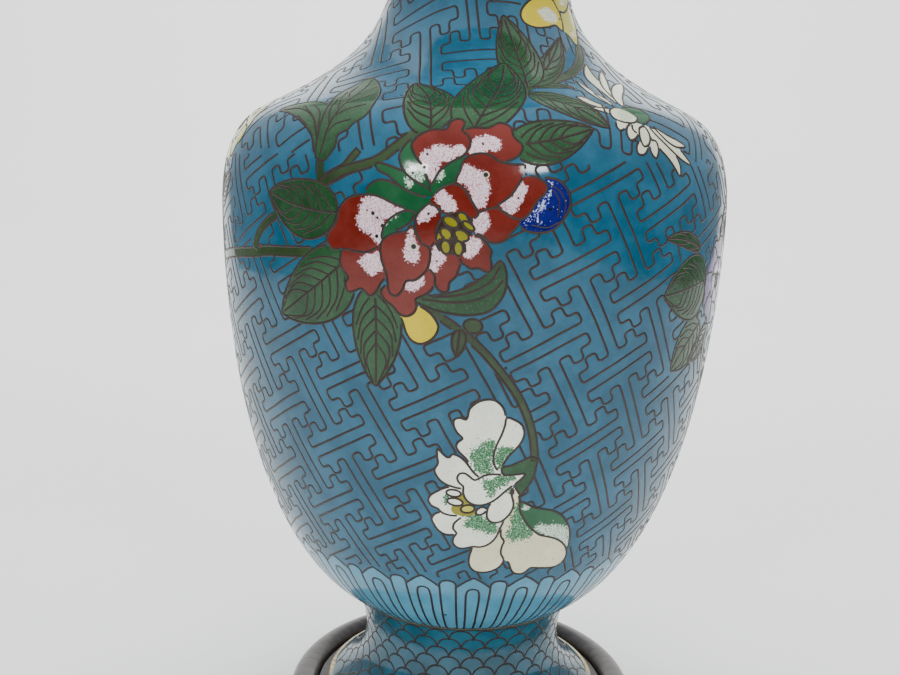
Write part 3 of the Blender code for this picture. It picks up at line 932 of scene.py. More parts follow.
def red_peony(m, red):
    m.cell("sepal", [(-18.7, 7.8), (-16.7, 9.6), (-14.2, 9.8), (-10.9, 8.2), (-6.2, 6.6), (-4, 6), (-4, 3),
        (-9.8, 3.2), (-14.2, 5), (-18.1, 6)])
    m.cell("sepal", [(-16.6, 13.2), (-14, 12.8), (-9.4, 11), (-5.3, 8.6), (-4.4, 7), (-6.8, 6.9),
        (-10.9, 8.4), (-14, 10.8), (-16.4, 12)], [(-9.6, 9.6, 1)])
    m.cell("sepal", [(-11.8, 14.6), (-10.9, 16.8), (-9.4, 18.2), (-7.4, 16), (-6, 12.4), (-4.4, 8.4),
        (-7.3, 9.3), (-10.6, 11.6)], [(-9.2, 11.4, 1.4), (-7.4, 10.6, 1)])
    m.cell("sepal", [(-5.2, 7.8), (-4.9, 10.4), (-3.1, 12.7), (-0.4, 14.1), (1.4, 14.8), (1.2, 12.6),
        (0, 10), (-1.6, 8.4), (-4.2, 7.4)], [(-3.6, 11.2, 1.2)])
    m.cell(red, [(0.6, 20), (2.4, 21.1), (5.7, 21.2), (7.9, 22.4), (10.2, 21.4), (10.8, 19.4), (12.7, 17.2),
        (11.6, 15.1), (9.4, 14.2), (6, 14.2), (2, 14.6)], [(4.4, 17.4, 1.9), (7, 17.5, 1.5),
        (3.2, 16.4, 1.4), (5.6, 18.4, 1.3)])
    m.pit(4.8, 17.6, 0.28)
    m.cell(red, [(-5.2, 9.3), (-6.8, 12.6), (-8.6, 15), (-9.4, 17.1), (-8, 19.2), (-5.3, 20.5),
        (-2.6, 20.7), (-1.9, 22.2), (-0.4, 23.2), (1, 22.4), (0.6, 20.5), (1.9, 19.2), (2.3, 17.2),
        (1, 15.1), (-1.4, 13.7), (-3.6, 11.8)], [(-5.3, 11.4, 1.5), (-5.6, 14, 2.3), (-4.2, 15.3, 1.9),
        (-2, 15.4, 1.7), (0.2, 16.2, 1.2)])
    m.pit(-6.1, 15.2, 0.28)
    m.pit(-6.6, 12.6, 0.35)
    m.pit(-8.9, 11.4, 0.3)
    m.cell(red, [(-0.3, 9.6), (0.6, 12.2), (1.2, 14.2), (3, 15.4), (6, 15.5), (8.2, 14.1), (10.7, 13.6),
        (13.3, 13.4), (13.1, 12), (12.2, 10.2), (11.2, 8.2), (8.8, 6.2), (6.8, 4.6), (4.6, 3.6), (3.2, 6.3),
        (1.6, 8.6)], [(1.9, 11.6, 1.8), (3.6, 10.4, 2.2), (4.6, 8.6, 2.1), (4.6, 6.4, 1.6), (1, 10.4, 1)])
    m.pit(5.6, 11.4, 0.5, ring=True)
    m.pit(3.4, 14.6, 0.2)
    m.cell(red, [(4.5, 4), (6.2, 4.7), (7.9, 5), (9.6, 4.4), (12.6, 4), (12.8, 2.6), (12.2, 1.4),
        (11.1, 0.2), (10.1, -1.2), (8.4, -1.9), (6.6, -1.7), (5.4, -0.6), (3, 0.4), (2.7, 2.3), (3.4, 3.3)],
        [(4.9, 1.9, 1.8), (5.4, 3.1, 1.2), (4.8, 0.5, 1.1)])
    m.cell(red, [(12.1, 9.6), (12.9, 11), (15, 11.3), (16.8, 10.7), (18, 9.4), (17.6, 8), (16.4, 6.9),
        (15.5, 5.6), (14.6, 4.1), (12.9, 2.8), (11.2, 3.2), (9.9, 3.9), (8.1, 5.3), (9.4, 6.4),
        (10.8, 7.6)], [(12.9, 9, 1.1), (12.3, 7.4, 1.3), (11.2, 6, 1.4), (9.6, 5.4, 0.9), (10.8, 4.6, 0.9)])
    m.pit(12.2, 7.0, 0.25)
    m.pit(13.6, 11.7, 0.3)
    m.cell(red, [(-5.2, 6), (-4.2, 7.5), (-2.6, 8.8), (-0.6, 9.5), (1, 8.9), (2.6, 6.8), (3.8, 4.9),
        (4.4, 3.6), (2.9, 2.6), (0.4, 3.2), (-2.2, 3.6), (-3.6, 4.8)], [(-2.9, 6.8, 1.5), (-1.7, 5.6, 1.5),
        (-0.7, 4.8, 1)])
    m.pit(-4.9, 7.0, 0.2)
    m.cell(red, [(-5.2, 5.5), (-6.6, 4.6), (-7.9, 3), (-8.2, 1.2), (-7.6, -0.7), (-6.8, -2.2), (-5.2, -3.1),
        (-3.4, -2.4), (-3.6, 0), (-3, 2.4), (-3.2, 4)], [(-5.4, 4.5, 0.9), (-6.2, 3.4, 1.3), (-4.6, 4, 1),
        (-7.2, 2.2, 0.9)])
    m.pit(-5.5, 3.5, 0.32)
    m.cell(red, [(-9.6, 3.9), (-12.6, 5.2), (-16.4, 6.7), (-19.8, 6.8), (-23, 5.9), (-24.8, 3.8),
        (-25.7, 0.8), (-27.4, -1.2), (-27.8, -2.9), (-26.2, -4.5), (-23.9, -4.2), (-20, -5), (-16.7, -4.3),
        (-14.6, -3.4), (-14, 0.2), (-11.6, 2.6)], [(-17.6, 4.2, 2.5), (-18.4, 1.6, 2.3), (-16.2, 0.2, 2.1),
        (-15.6, -1.6, 1.2), (-13.8, 3.8, 1.8), (-15, 4.6, 2), (-11.4, 3.9, 0.9), (-16.6, 5.8, 1.1)])
    for x, y, radius in ((-17.1, 3.2, 0.42), (-16.1, 2.35, 0.3), (-15.0, 0.8, 0.42), (-17.5, -1.0, 0.22),
                         (-18.4, 3.7, 0.22)):
        m.pit(x, y, radius)
    # painted highlight: the three small glow discs paint a white glint on this sepal's upper left
    m.cell("sepal", [(-15.1, -1.8), (-14.9, 0.1), (-13.8, 1.9), (-12.2, 3.1), (-10.4, 3.9), (-8.4, 3.7),
        (-8.9, 2), (-10.4, 0.8), (-12.2, -0.1), (-13.8, -1.1)], [(-13.4, 2.3, 0.6), (-12.2, 3, 0.6),
        (-14.3, 1.2, 0.5)])
    m.cell(red, [(-23.9, -4.5), (-24.5, -7.6), (-23.2, -9.4), (-22.7, -10.3), (-23.4, -11.6),
        (-22.6, -13.1), (-20.8, -12.7), (-19.6, -12.2), (-17.6, -13.6), (-16.2, -12.6), (-15.2, -10.8),
        (-13.8, -9), (-14.4, -5.8), (-15.4, -3.6), (-18.4, -4.7), (-21.4, -4.6)], [(-17.6, -6.9, 1.9),
        (-16, -7.4, 1.4), (-17.2, -8.4, 1.1), (-19.2, -6.5, 1), (-16.2, -5.4, 1)])
    m.cell(red, [(-12.6, -10.4), (-14.6, -11.6), (-15.2, -12.8), (-14.4, -14.2), (-12.8, -15.3),
        (-11.3, -16.9), (-9.8, -17.4), (-8.2, -16.6), (-7.6, -15.2), (-7.8, -13.8), (-6.2, -12.9),
        (-4.5, -11.6), (-4.1, -9.6), (-4.6, -7.4), (-8, -8)], [(-8.6, -10.9, 1.3), (-7.2, -10.4, 1),
        (-9.6, -11.6, 0.7), (-6.8, -8.9, 0.6)])
    m.cell(red, [(-4.2, -2.2), (-5.1, -4.2), (-5.3, -7), (-4, -8.9), (-3.9, -10.6), (-2.7, -12),
        (-1.3, -11.8), (-1, -10.1), (0.2, -8.9), (0.8, -7.4), (1.1, -5.8), (0, -3.6), (-2, -2)],
        [(-3.6, -3.8, 1.2), (-3.5, -5.4, 1.5), (-4.3, -7.2, 0.9), (-2.6, -4.8, 1)])
    m.pit(-3.6, -5.9, 0.2)
    m.cell(red, [(1, -5.6), (2.1, -6.5), (3.4, -7.2), (4.7, -7), (5.9, -7.6), (7, -7.7), (7.3, -6.3),
        (7, -4.9), (7.2, -3.7), (6.4, -2.3), (5.4, -1.3), (3.9, -0.4), (2.4, -0.6), (1.4, -2.6)],
        [(3.2, -2.3, 1.5), (2.6, -3.9, 1.3), (4.3, -1.9, 1), (3.6, -3.4, 1.2)])
    m.cell(red, [(-15.1, -2.4), (-13.6, -1.1), (-11.6, -0.4), (-10, -0.1), (-8.9, 1.1), (-7.8, -0.6),
        (-6.6, -2.6), (-5.2, -3.3), (-5, -5.4), (-5.6, -7.6), (-7, -9.2), (-8.4, -10), (-9.8, -10.1),
        (-10.6, -12), (-12, -13.3), (-13.4, -12.6), (-13.8, -10.6), (-14.1, -8.8), (-15, -6.6),
        (-15.4, -4.2)], [(-8.9, -0.3, 0.8), (-9, -2, 1.2), (-8.9, -4, 1.7), (-8.7, -5.2, 1.4)])
    m.pit(-8.4, -3.1, 0.55, ring=True)
    m.cell("seedbed", [(-2.4, 3.2), (0.2, 3.9), (2.6, 3.2), (3.6, 1), (3, -0.6), (1.9, -1.6), (1.9, -4),
        (0.6, -4.6), (-1, -4.4), (-3, -3.8), (-4, -1.6), (-3.8, 0.8)])
    for x, y, half_length, half_width, angle in (
            (-3.2, -0.6, 1.3, 0.55, 70), (1.3, 3.0, 1.15, 0.85, -40), (2.5, 1.3, 1.4, 0.65, -35),
            (-1.0, 2.0, 1.65, 1.0, -28), (-1.9, -0.3, 1.35, 0.95, -40), (1.2, -0.6, 1.55, 1.0, -28),
            (-1.9, -3.0, 1.0, 1.4, 12), (0.6, -3.2, 0.95, 1.45, 4)):
        m.ellipse("olive", (x, y), half_length, half_width, angle)


def front_buds(m):
    m.cell("yellow", [(-7.3, -15.2), (-5.3, -16.1), (-3.8, -17.7), (-3.1, -19.3), (-3.8, -21.2),
        (-5.3, -22.5), (-7, -23), (-8.7, -22.3), (-9.8, -20.7), (-10.4, -18.8), (-10.9, -17.3),
        (-9.4, -17.4), (-8.2, -16.6)])
    m.cell("cobalt", [(17.4, 10.9), (19.6, 10.9), (21.4, 9.9), (22.6, 8.2), (23, 6.1), (22.4, 4),
        (20.9, 2.1), (19.6, 0.9), (17.7, 0.3), (15.8, 0.2), (13.8, 0.7), (12.7, 1.9), (12.9, 3),
        (14.4, 3.9), (15.5, 5.6), (16.6, 7), (17.8, 8.2), (18, 9.5)], [(17, 5.4, 0.9), (15.8, 4.2, 0.8),
        (18.2, 7.4, 0.7), (14.4, 2.8, 0.7), (18.8, 9.8, 0.6), (16, 2.8, 0.7)])
    m.wire([(18.0, 9.9), (20.6, 8.6), (22.0, 5.9), (21.6, 3.2)], width=HAIR_WIRE)
    m.wire([(19.2, 8.8), (20.6, 6.6), (20.4, 3.4)], width=HAIR_WIRE)
    m.wire([(15.0, 1.8), (18.2, 1.3), (20.8, 2.4)], width=HAIR_WIRE)


def white_peony(m, petal, outer):
    m.cell("sepal", [(7.6, -0.8), (8.9, -1.6), (10.5, -2.4), (12.6, -3), (14.8, -3.6), (16.8, -4.8),
        (18.4, -6.6), (19.5, -8.8), (20.1, -11.2), (20.1, -13.6), (19.8, -15.4), (18, -13.6), (14, -11.4),
        (10, -9), (7, -4)], [(17.4, -10.6, 2.6), (15, -9.2, 1.8), (12.4, -8.2, 1.3), (18.8, -13.4, 2),
        (8.4, -2.4, 0.9)])
    m.cell(outer, [(5.6, 3), (6.5, 1.4), (7, -0.8), (7.3, -3.2), (8.2, -5.1), (9.4, -7.1), (10.8, -8.7),
        (12.4, -10.1), (14.6, -10.9), (16.8, -11.9), (18.4, -13.3), (19.5, -15), (19.9, -17.2), (19.3, -19),
        (17.8, -20.4), (15.6, -20.6), (13, -20.2), (11, -20), (10.2, -21), (8.8, -21.7), (7.2, -21.1),
        (6.4, -19.6), (5.8, -17.8), (4.4, -16.4), (3.7, -14.4), (3.9, -12.6), (4.3, -11.4), (3.5, -9.9),
        (3.4, -7.8), (4, -5.6), (5.3, -3.2)], [(7, -2.4, 1.3), (7, -5, 2), (7.6, -7.4, 2.3), (6.4, -9.6, 2),
        (9, -9.4, 1.8)])
    m.cell(outer, [(-2.4, -12.6), (-2.9, -14.3), (-3.2, -16.2), (-3, -18.4), (-1.8, -20.2), (0.4, -20.7),
        (2.6, -20), (4.2, -18.4), (4.6, -16.8), (3.8, -14.8), (4, -12.4), (4.3, -11.4), (3.5, -9.9),
        (3.2, -7.6), (1.9, -9), (0, -11)])
    m.cell(petal, [(-9.6, -3.6), (-11.2, -4.2), (-11.9, -5.5), (-11.3, -7.1), (-10.2, -8.7), (-8.6, -9.6),
        (-6.9, -9.5), (-5.6, -8.6), (-5, -5), (-6.6, -3.8)])
    m.cell(petal, [(-5.4, 2.8), (-7.8, 3), (-9.6, 2.5), (-11, 1.6), (-12.3, 0.6), (-12.8, -0.7),
        (-12, -2.1), (-10.7, -2.7), (-9.9, -3.6), (-8.6, -4.2), (-7, -4.4), (-4.6, -4), (-3, -2)],
        [(-8.6, 0.2, 0.9), (-9.2, -0.8, 0.8)])
    m.cell(petal, [(-0.6, -2.6), (-2.8, -3.6), (-4.6, -4.3), (-5.9, -5.2), (-7, -6.6), (-7.1, -8),
        (-6.3, -9.1), (-6.9, -10.4), (-7, -11.7), (-6.4, -12.8), (-5, -13.4), (-3.6, -13.1), (-2.5, -12.8),
        (-1, -12.9), (0.6, -12.3), (1.9, -11), (2.7, -9.3), (3.2, -7.5), (3.7, -5.4), (2, -4)],
        [(-2.6, -5.4, 2.1), (0.3, -6.8, 2.1), (-1.2, -6.6, 1.9), (1.4, -8, 1.4), (-3.8, -6.6, 1.2)])
    m.cell("olive", [(-8.4, 1.6), (-5.4, 1.4), (-3, -1.2), (-2.4, -3.6), (-4.6, -4.4), (-7.2, -3.8),
        (-7.8, -2.6), (-7, -0.4), (-8, 0.6)], wired=False)
    for x, y, half_length, half_width, angle, kind in (
            (-7.4, 1.4, 1.6, 0.85, -8, petal), (-7.0, -0.8, 1.7, 0.9, -12, petal),
            (-4.2, -2.5, 1.5, 1.0, 8, "lemon"), (-1.3, -3.0, 1.2, 0.85, 38, petal)):
        m.ellipse(kind, (x, y), half_length, half_width, angle)
    m.cell(petal, [(5.4, 3.4), (4.9, 2), (5.3, 0.4), (5.7, -1.3), (5.4, -3), (4.4, -4.7), (3, -5.9),
        (1.3, -6), (0.2, -4.9), (0, -3.2), (0.4, -1.5), (1.4, -0.2), (2.8, 1.2), (4.2, 2.6)],
        [(4.6, 2.2, 0.9)])
    m.cell(petal, [(-2.2, 5.2), (-2.9, 6.6), (-4.1, 8), (-4.9, 9.7), (-6.8, 11.7), (-7.3, 12.8),
        (-6.9, 13.8), (-6, 14.6), (-7.2, 15.9), (-8, 17.6), (-7.9, 18.9), (-6.6, 19.3), (-5.5, 18.9),
        (-5.1, 19.8), (-4.9, 21.2), (-3.4, 22.8), (-1.4, 23.5), (0.4, 23.3), (1.9, 22), (2.7, 20),
        (2.7, 17.6), (2, 15.3), (1.1, 13.2), (0.6, 10.9), (0.8, 8.8), (1.7, 7.2), (2.9, 6.2), (0.6, 5.4)],
        [(-1.4, 8.4, 2.3), (-2.6, 10.8, 1.9), (-0.4, 11.2, 1.9), (-0.2, 13.4, 1.2), (-1.6, 12.6, 1.2),
        (-0.6, 6.8, 1.4)])
    m.pit(-0.6, 7.7, 0.22)
    m.cell(petal, [(3, 19.5), (4.4, 19.1), (6.2, 17.9), (6.9, 16.2), (6.5, 14.1), (5.2, 12.2), (3.8, 10.5),
        (3, 9), (2.5, 7.8), (2.9, 6.5), (1.7, 7.3), (0.8, 8.9), (0.7, 11.1), (1.2, 13.3), (2.1, 15.6),
        (2.7, 17.8)], [(2, 10, 1.5), (2.6, 11.6, 1.5), (4, 11.8, 1.1), (2.2, 8.4, 1)])
    m.cell(petal, [(-11.2, 11.9), (-10.3, 11.1), (-9.2, 10.1), (-8.6, 10.1), (-8.1, 10.8), (-7.2, 10.7),
        (-5.8, 9.8), (-4.6, 8.4), (-3.5, 6.8), (-2.1, 5.2), (-3.6, 3.6), (-5.8, 2.7), (-7.9, 3.1),
        (-9.7, 3.9), (-11, 5.2), (-11.7, 6.9), (-11, 8.5), (-11.2, 10)])
    m.cell(petal, [(-2.2, 5.2), (-1, 6), (1.2, 6.3), (3.2, 6.1), (5.4, 6.1), (7.7, 6.3), (6.8, 4.8),
        (5.1, 3.4), (3.4, 1.8), (2.1, 0.4), (0.7, -0.7), (-1, -1.4), (-2.7, -1.4), (-4.1, -0.7), (-5, 0.5),
        (-5.4, 1.9), (-5.4, 3.2), (-6.3, 4), (-6.8, 5.2), (-6.3, 6.3), (-5.2, 6.4), (-4.1, 5.6),
        (-3.1, 4.8)], [(2.4, 4.6, 1.7), (0.4, 3.4, 1.7), (4.6, 5.4, 1.1), (0.6, 1.8, 1.2), (-0.6, 4.4, 1)])
    m.cell("leaf", [(2.6, 7.8), (4.6, 8.4), (6.8, 9.4), (9, 10.3), (10.2, 9.4), (10.1, 8), (9.8, 5.9),
        (9, 3.8), (7.9, 2), (7.2, 1), (6.2, 2.2), (5.7, 3.7), (6.8, 4.9), (7.7, 6.2), (5.4, 6.1), (3, 6.2)])
    return m


CREAM_PETALS = (
    [(34.6, 30.6), (31.8, 36), (29.6, 40), (28, 43.4), (27.9, 47), (29.2, 50.2), (30.4, 46), (31.8, 42),
     (32.7, 38), (33.9, 33.4)],
    [(35, 30.6), (33.2, 36), (32.2, 39.4), (32, 42.6), (32.8, 45.9), (34.4, 48.4), (34.6, 43.6),
     (34.2, 37)],
    [(36.2, 29.6), (34.7, 31.6), (34.2, 36.6), (35.4, 40), (37.4, 41.9), (40.2, 42.4), (39.3, 39),
     (38, 36.6), (37, 34)],
    [(25, 41.6), (26.6, 37.6), (28.4, 34.6), (31.6, 30.6), (30, 34.6), (28.4, 37.2)],
    [(29, 35.8), (30.6, 32.6), (33.2, 29.4), (32.4, 32)],
    [(24.3, 33.2), (26.4, 32.7), (28.4, 30.9), (31.4, 28.8), (28.2, 29), (26, 30.7)],
    [(27.6, 28.2), (29.8, 28.4), (32, 27.8), (31.8, 26.6), (29.7, 27)],
    [(41, 24), (43.6, 21.9), (46, 20), (48.9, 18), (50.9, 16), (52, 14), (51.9, 12), (50, 13.8),
     (47.9, 15.8), (45.2, 17.9), (43.2, 19.9)],
    [(42.6, 23), (46.4, 21.3), (50.2, 19.2), (53.4, 17), (56.2, 14.6), (53.6, 15.2), (50.4, 16.8),
     (46.8, 19.2), (44.2, 21.2)],
    [(44, 23), (48, 21.2), (51.4, 20.1), (54.6, 18.7), (51.2, 18.4), (47.8, 19.7)],
    [(33.6, 24.2), (33.4, 22.7), (34.3, 21.7), (35.4, 22.2), (36.4, 23.6)],
    [(36.4, 23), (36, 20.8), (37, 19.5), (38.4, 20.1), (39.2, 21.4), (38.4, 23.4)],
    [(37.8, 23.8), (37.6, 22.2), (38.7, 21.3), (39.8, 22), (40.2, 23.8)],
    [(38.6, 18.6), (38.8, 16.6), (40.4, 16.4), (41.6, 17.8), (41, 19.6)],
    [(42.2, 19.4), (42.6, 16.9), (44, 15.7), (44.8, 17.6), (44, 19.6)],
    [(39.6, 22.6), (39.6, 19.8), (40.6, 18.2), (42, 18.8), (42.4, 20.6), (41, 23)],
)


def cream_flower(m):
    m.cell("sepal", [(35.0, 28.4), (38, 29.4), (41.3, 28.4), (43.4, 26), (41.3, 23.8), (39.0, 24.4)])
    for points in CREAM_PETALS:
        m.cell("cream", points)
    m.cell("cream", [(32, 27.2), (32.7, 28.4), (34.4, 28.7), (36.3, 28), (38, 26.8), (39.4, 25.2),
        (38.6, 24.1), (36.7, 23.8), (34.3, 24.2), (32.6, 25.2)], [(36, 26, 2.2)])


def yellow_flower(m):
    m.cell("lemon", [(24, 67.6), (26.4, 70.4), (29.4, 69.4), (30.6, 66), (29.8, 62.2), (28, 57.6),
        (25.8, 60.2), (23.6, 62.6)], [(27.4, 61.4, 1.2)])
    m.cell("lemon", [(20.4, 70), (22.4, 73.6), (26.2, 75.4), (29, 73.4), (28.2, 70.2), (24.6, 67.6)],
        [(25, 71, 1.6)])
    m.cell("yellow", [(16, 69.6), (14.6, 73.2), (16.2, 76.6), (19.8, 77.6), (22.8, 75.4), (22.4, 71.6),
        (20, 69.4)], [(19.4, 73.6, 1.8)])
    m.cell("yellow", [(11.8, 67.4), (11.2, 65.2), (12.3, 63), (15.1, 61.9), (18.4, 62.4), (21.2, 63.3),
        (23.4, 61.9), (23.8, 64.1), (23.2, 66.9), (21.8, 69.1), (20.6, 70.4), (17.4, 70.6), (14.4, 70)],
        [(18.6, 66.2, 2), (20.4, 65.4, 1.6), (16.6, 66.6, 1)])


def large_spray(m, petal):
    front_leaves(m)
    front_buds(m)
    red_peony(m, petal)
    cream_flower(m)
    yellow_flower(m)
    return m


def back_spray():
    """The front's spray mirrored in pink, with a pair of leaves where its long stem ends."""
    m = Motif(BACK_ANGLE, PEONY_S - BACK_DROP, mirror=True)
    m.leaf((-72, -9.0), (-87, -2.5), 4.6, 4.2, 0.8)
    m.leaf((-69, -8.6), (-80, -21.0), 4.2, 4.4, 0.8)
    return large_spray(m, "pink")


# ---- motifs of the sides ----

def rosette(motif, centre, petals, inner, outer, width, kind, glow=0.45, start=0.0):
    """Round petals about a centre, each over the one before it."""
    for i in range(petals):
        angle = radians(start) + tau * i / petals
        out, across = heading(angle), heading(angle + UP)
        shape = ((inner, -0.3), (0.5, -0.44), (0.84, -0.5), (0.97, -0.27), (0.92, 0.0), (1.0, 0.28),
                 (0.82, 0.52), (0.5, 0.42), (inner, 0.3))
        points = [Vector(centre) + out * outer * a + across * width * b for a, b in shape]
        middle = Vector(centre) + out * outer * glow
        motif.cell(kind, points, [(middle.x, middle.y, width * 0.32)])


def seeds(motif, centre, count, radius, kind="olive"):
    motif.ellipse("seedbed", centre, radius * 1.7, radius * 1.7)
    for i in range(count):
        angle = tau * i / count
        motif.ellipse(kind, (centre[0] + radius * cos(angle), centre[1] + radius * sin(angle)),
                      radius * 0.5, radius * 0.34, i * 360 / count)
    motif.ellipse(kind, centre, radius * 0.42, radius * 0.36)


def spray(motif, points, width, leaf_size):
    """A stem with leaves by turns on either side."""
    line = smooth(points, closed=False, step=2.0)
    spacing = max(3, int(len(line) / 5))
    for n, i in enumerate(range(spacing, len(line) - 1, spacing)):
        along = line[i + 1] - line[i - 1]
        angle = atan2(along[1], along[0]) + (1 if n % 2 else -1) * radians(48)
        tip = line[i] + np.array([cos(angle), sin(angle)]) * leaf_size
        motif.leaf(line[i], tip, leaf_size * 0.28, leaf_size * 0.26, leaf_size * 0.05, 4)
    motif.stem(points, width)


def right_side():
    m = Motif(66.0, 96.0)
    spray(m, [(2, 34), (8, 22), (6, 8), (0, -2), (-2, -16), (6, -30), (14, -44)], 1.7, 12)
    m.leaf((3, 4), (14, 17), 4.6, 4.4, 0.8)
    rosette(m, (1, 1), 8, 0.14, 10.5, 8.6, "purple", 0.34, 15)
    rosette(m, (1, 1), 5, 0.14, 5.6, 5.4, "purple", 0.5, 50)
    seeds(m, (1, 1), 6, 1.3)
    rosette(m, (16, -47), 6, 0.15, 6.4, 6.4, "yellow", 0.4, 20)
    seeds(m, (16, -47), 5, 1.0)
    return m


def left_side():
    m = Motif(-74.0, 100.0)
    spray(m, [(4, -10), (-2, 0), (2, 12), (0, 24), (-4, 34)], 1.8, 12)
    spray(m, [(4, -10), (-6, -18), (-10, -30), (-4, -44)], 1.6, 11)
    rosette(m, (4, 32), 7, 0.14, 10.0, 8.6, "lemon", 0.42, 10)
    rosette(m, (4, 32), 5, 0.14, 5.4, 5.4, "cream", 0.5, 40)
    seeds(m, (4, 32), 6, 1.3, "yellow")
    rosette(m, (-3, -46), 6, 0.14, 8.0, 7.6, "pink", 0.44, 0)
    seeds(m, (-3, -46), 6, 1.2)
    return m


# ---- bands ----

LAPPETS = 25
LAPPET_PEAK = 28.3         # arc length from the joint
LAPPET_EAVES = 24.8
STRIP_TOP = 27.2
LAPPET_FOOT = 1.6
LAPPET_HALF = 0.34         # half widths, as shares of the pitch
LOOP_HALF = 0.130
LAPPET_POINT = 0.85        # under 1 the point's sides are hollow
MOUTH_SCALE = 0.42         # the mouth's lappets against the body's
MOUTH_BAND = 13.0          # arc length from the mouth's ring to their feet


def lappet_band(name, first, scale=1.0, flip=None):
    """Pointed lappets with an inner loop, between narrow round-topped strips."""
    pitch = tau / LAPPETS
    half = pitch * LAPPET_HALF
    loop = pitch * LOOP_HALF
    strip_middle = pitch / 2
    strip = pitch / 2 - half
    peak, eaves, top, foot = (v * scale for v in (LAPPET_PEAK, LAPPET_EAVES, STRIP_TOP, LAPPET_FOOT))
    radius = float(BODY.radius(flip - eaves if flip else eaves))
    wires = Wires(BODY)
    cells = {"points": [], "faces": [], "normals": [], "count": 0}

    def column(edge_low, edge_high, centre, bottom, roof):
        """A strip of cell between two meridians under a roof line."""
        across = np.linspace(0, 1, 9)
        theta = centre + edge_low + (edge_high - edge_low) * across
        tops = np.array([roof(t) for t in across])
        rows = np.linspace(0, 1, 16)
        grid_theta = np.repeat(theta[None], len(rows), axis=0).ravel()
        grid_s = (bottom + (tops - bottom)[None] * rows[:, None]).ravel()
        if flip:
            grid_s = flip - grid_s
        n, m = len(rows), len(across)
        index = np.arange(n * m).reshape(n, m)
        around = [index[:-1, :-1], index[:-1, 1:], index[1:, 1:], index[1:, :-1]]
        quads = np.stack(around, axis=-1).reshape(-1, 4)
        if flip:
            quads = quads[:, ::-1]
        cells["points"].append(BODY.places(grid_theta, grid_s, CELL_LIFT))
        cells["normals"].append(BODY.normals(grid_theta, grid_s))
        cells["faces"].append(quads + cells["count"])
        cells["count"] += n * m

    def draw(theta, s):
        line = smooth(np.stack([np.array(theta) * radius, s], axis=1), closed=False, step=0.8)
        arc = flip - line[:, 1] if flip else line[:, 1]
        wires.add(line[:, 0] / radius, arc)

    def pointed(t):
        return eaves + (peak - eaves) * (1 - abs(2 * t - 1)) ** LAPPET_POINT

    def rounded(t):
        return top - 1.3 * scale * abs(2 * t - 1) ** 3

    for i in range(LAPPETS):
        centre = radians(first) + i * pitch
        middle = centre + strip_middle
        column(-half, half, centre, foot, pointed)
        column(-strip, strip, middle, foot, rounded)
        for side in (-1, 1):
            shoulder = centre + side * half
            draw([shoulder] * 4, [foot, foot + 8 * scale, foot + 16 * scale, eaves])
            draw([shoulder, centre + side * half * 0.45, centre],
                 [eaves, eaves + (peak - eaves) * 0.62, peak])
            edge = middle + side * strip
            draw([edge, edge, middle + side * strip * 0.7, middle],
                 [eaves, top - 1.5 * scale, top - 0.45 * scale, top])
            draw([centre + side * loop] * 3 + [centre + side * loop * 0.72, centre],
                 [foot, foot + 12 * scale] + [eaves - drop * scale for drop in (2.4, 0.9, 0.4)])
    obj = piece(f"{name}_cells", np.vstack(cells["points"]), np.vstack(cells["faces"]), materials["pale"],
                "vase")
    obj.data.normals_split_custom_set_from_vertices(np.vstack(cells["normals"]).tolist())
    wires.make(f"{name}_wires")


SCALES = 28
SCALE_ROW = 2.75
SCALE_HEIGHT = 3.5


def foot_scales():
    """Rows of overlapping fish scales round the foot, drawn from the joint down."""
    wires = Wires(FOOT, 0.48)
    pitch = tau / SCALES
    lowest = 0.8
    top = FOOT.s[-1] - 0.4
    row = 0
    while top - row * SCALE_ROW > lowest:
        crown = top - row * SCALE_ROW
        for i in range(SCALES):
            centre = (i + (row % 2) / 2) * pitch
            turn = np.linspace(0.02 * pi, 0.98 * pi, 15)
            theta = centre + np.cos(turn) * pitch / 2
            s = crown - SCALE_HEIGHT + SCALE_HEIGHT * np.sin(turn) ** 0.8
            shown = (s > lowest) & (s < FOOT.s[-1] - 0.2)
            for indices, _ in runs(shown, False):
                wires.add(theta[indices], s[indices])
        row += 1
    wires.make("foot_scale_wires")


# ---- pieces that stand for CAD nodes ----

def make_skins():
    beside = RING_WIRE + GAP
    skin("foot_glaze", FOOT, 0, ENAMEL, FOOT_TOP + GAP, PLATE_BOTTOM - GAP, materials["scale"],
         ["foot_enamel"])
    skin("lappet_glaze", BODY, 0, ENAMEL, JOINT + beside, LAPPET_TOP, materials["ground"],
         ["lappet_enamel"])
    skin("ground_glaze", BODY, 0, ENAMEL, LAPPET_TOP, BAND - beside, materials["ground"],
         ["ground_enamel"])
    skin("mouth_glaze", BODY, 0, ENAMEL, BAND + beside, LIP_BOTTOM - GAP, materials["ground"],
         ["mouth_enamel"])
    skin("neck_counter_enamel", BODY, LINING_DEPTH, WALL - LINING_DEPTH, SHOULDER + GAP / 2,
         LIP_BOTTOM - GAP, materials["lining"], ["neck_lining"])


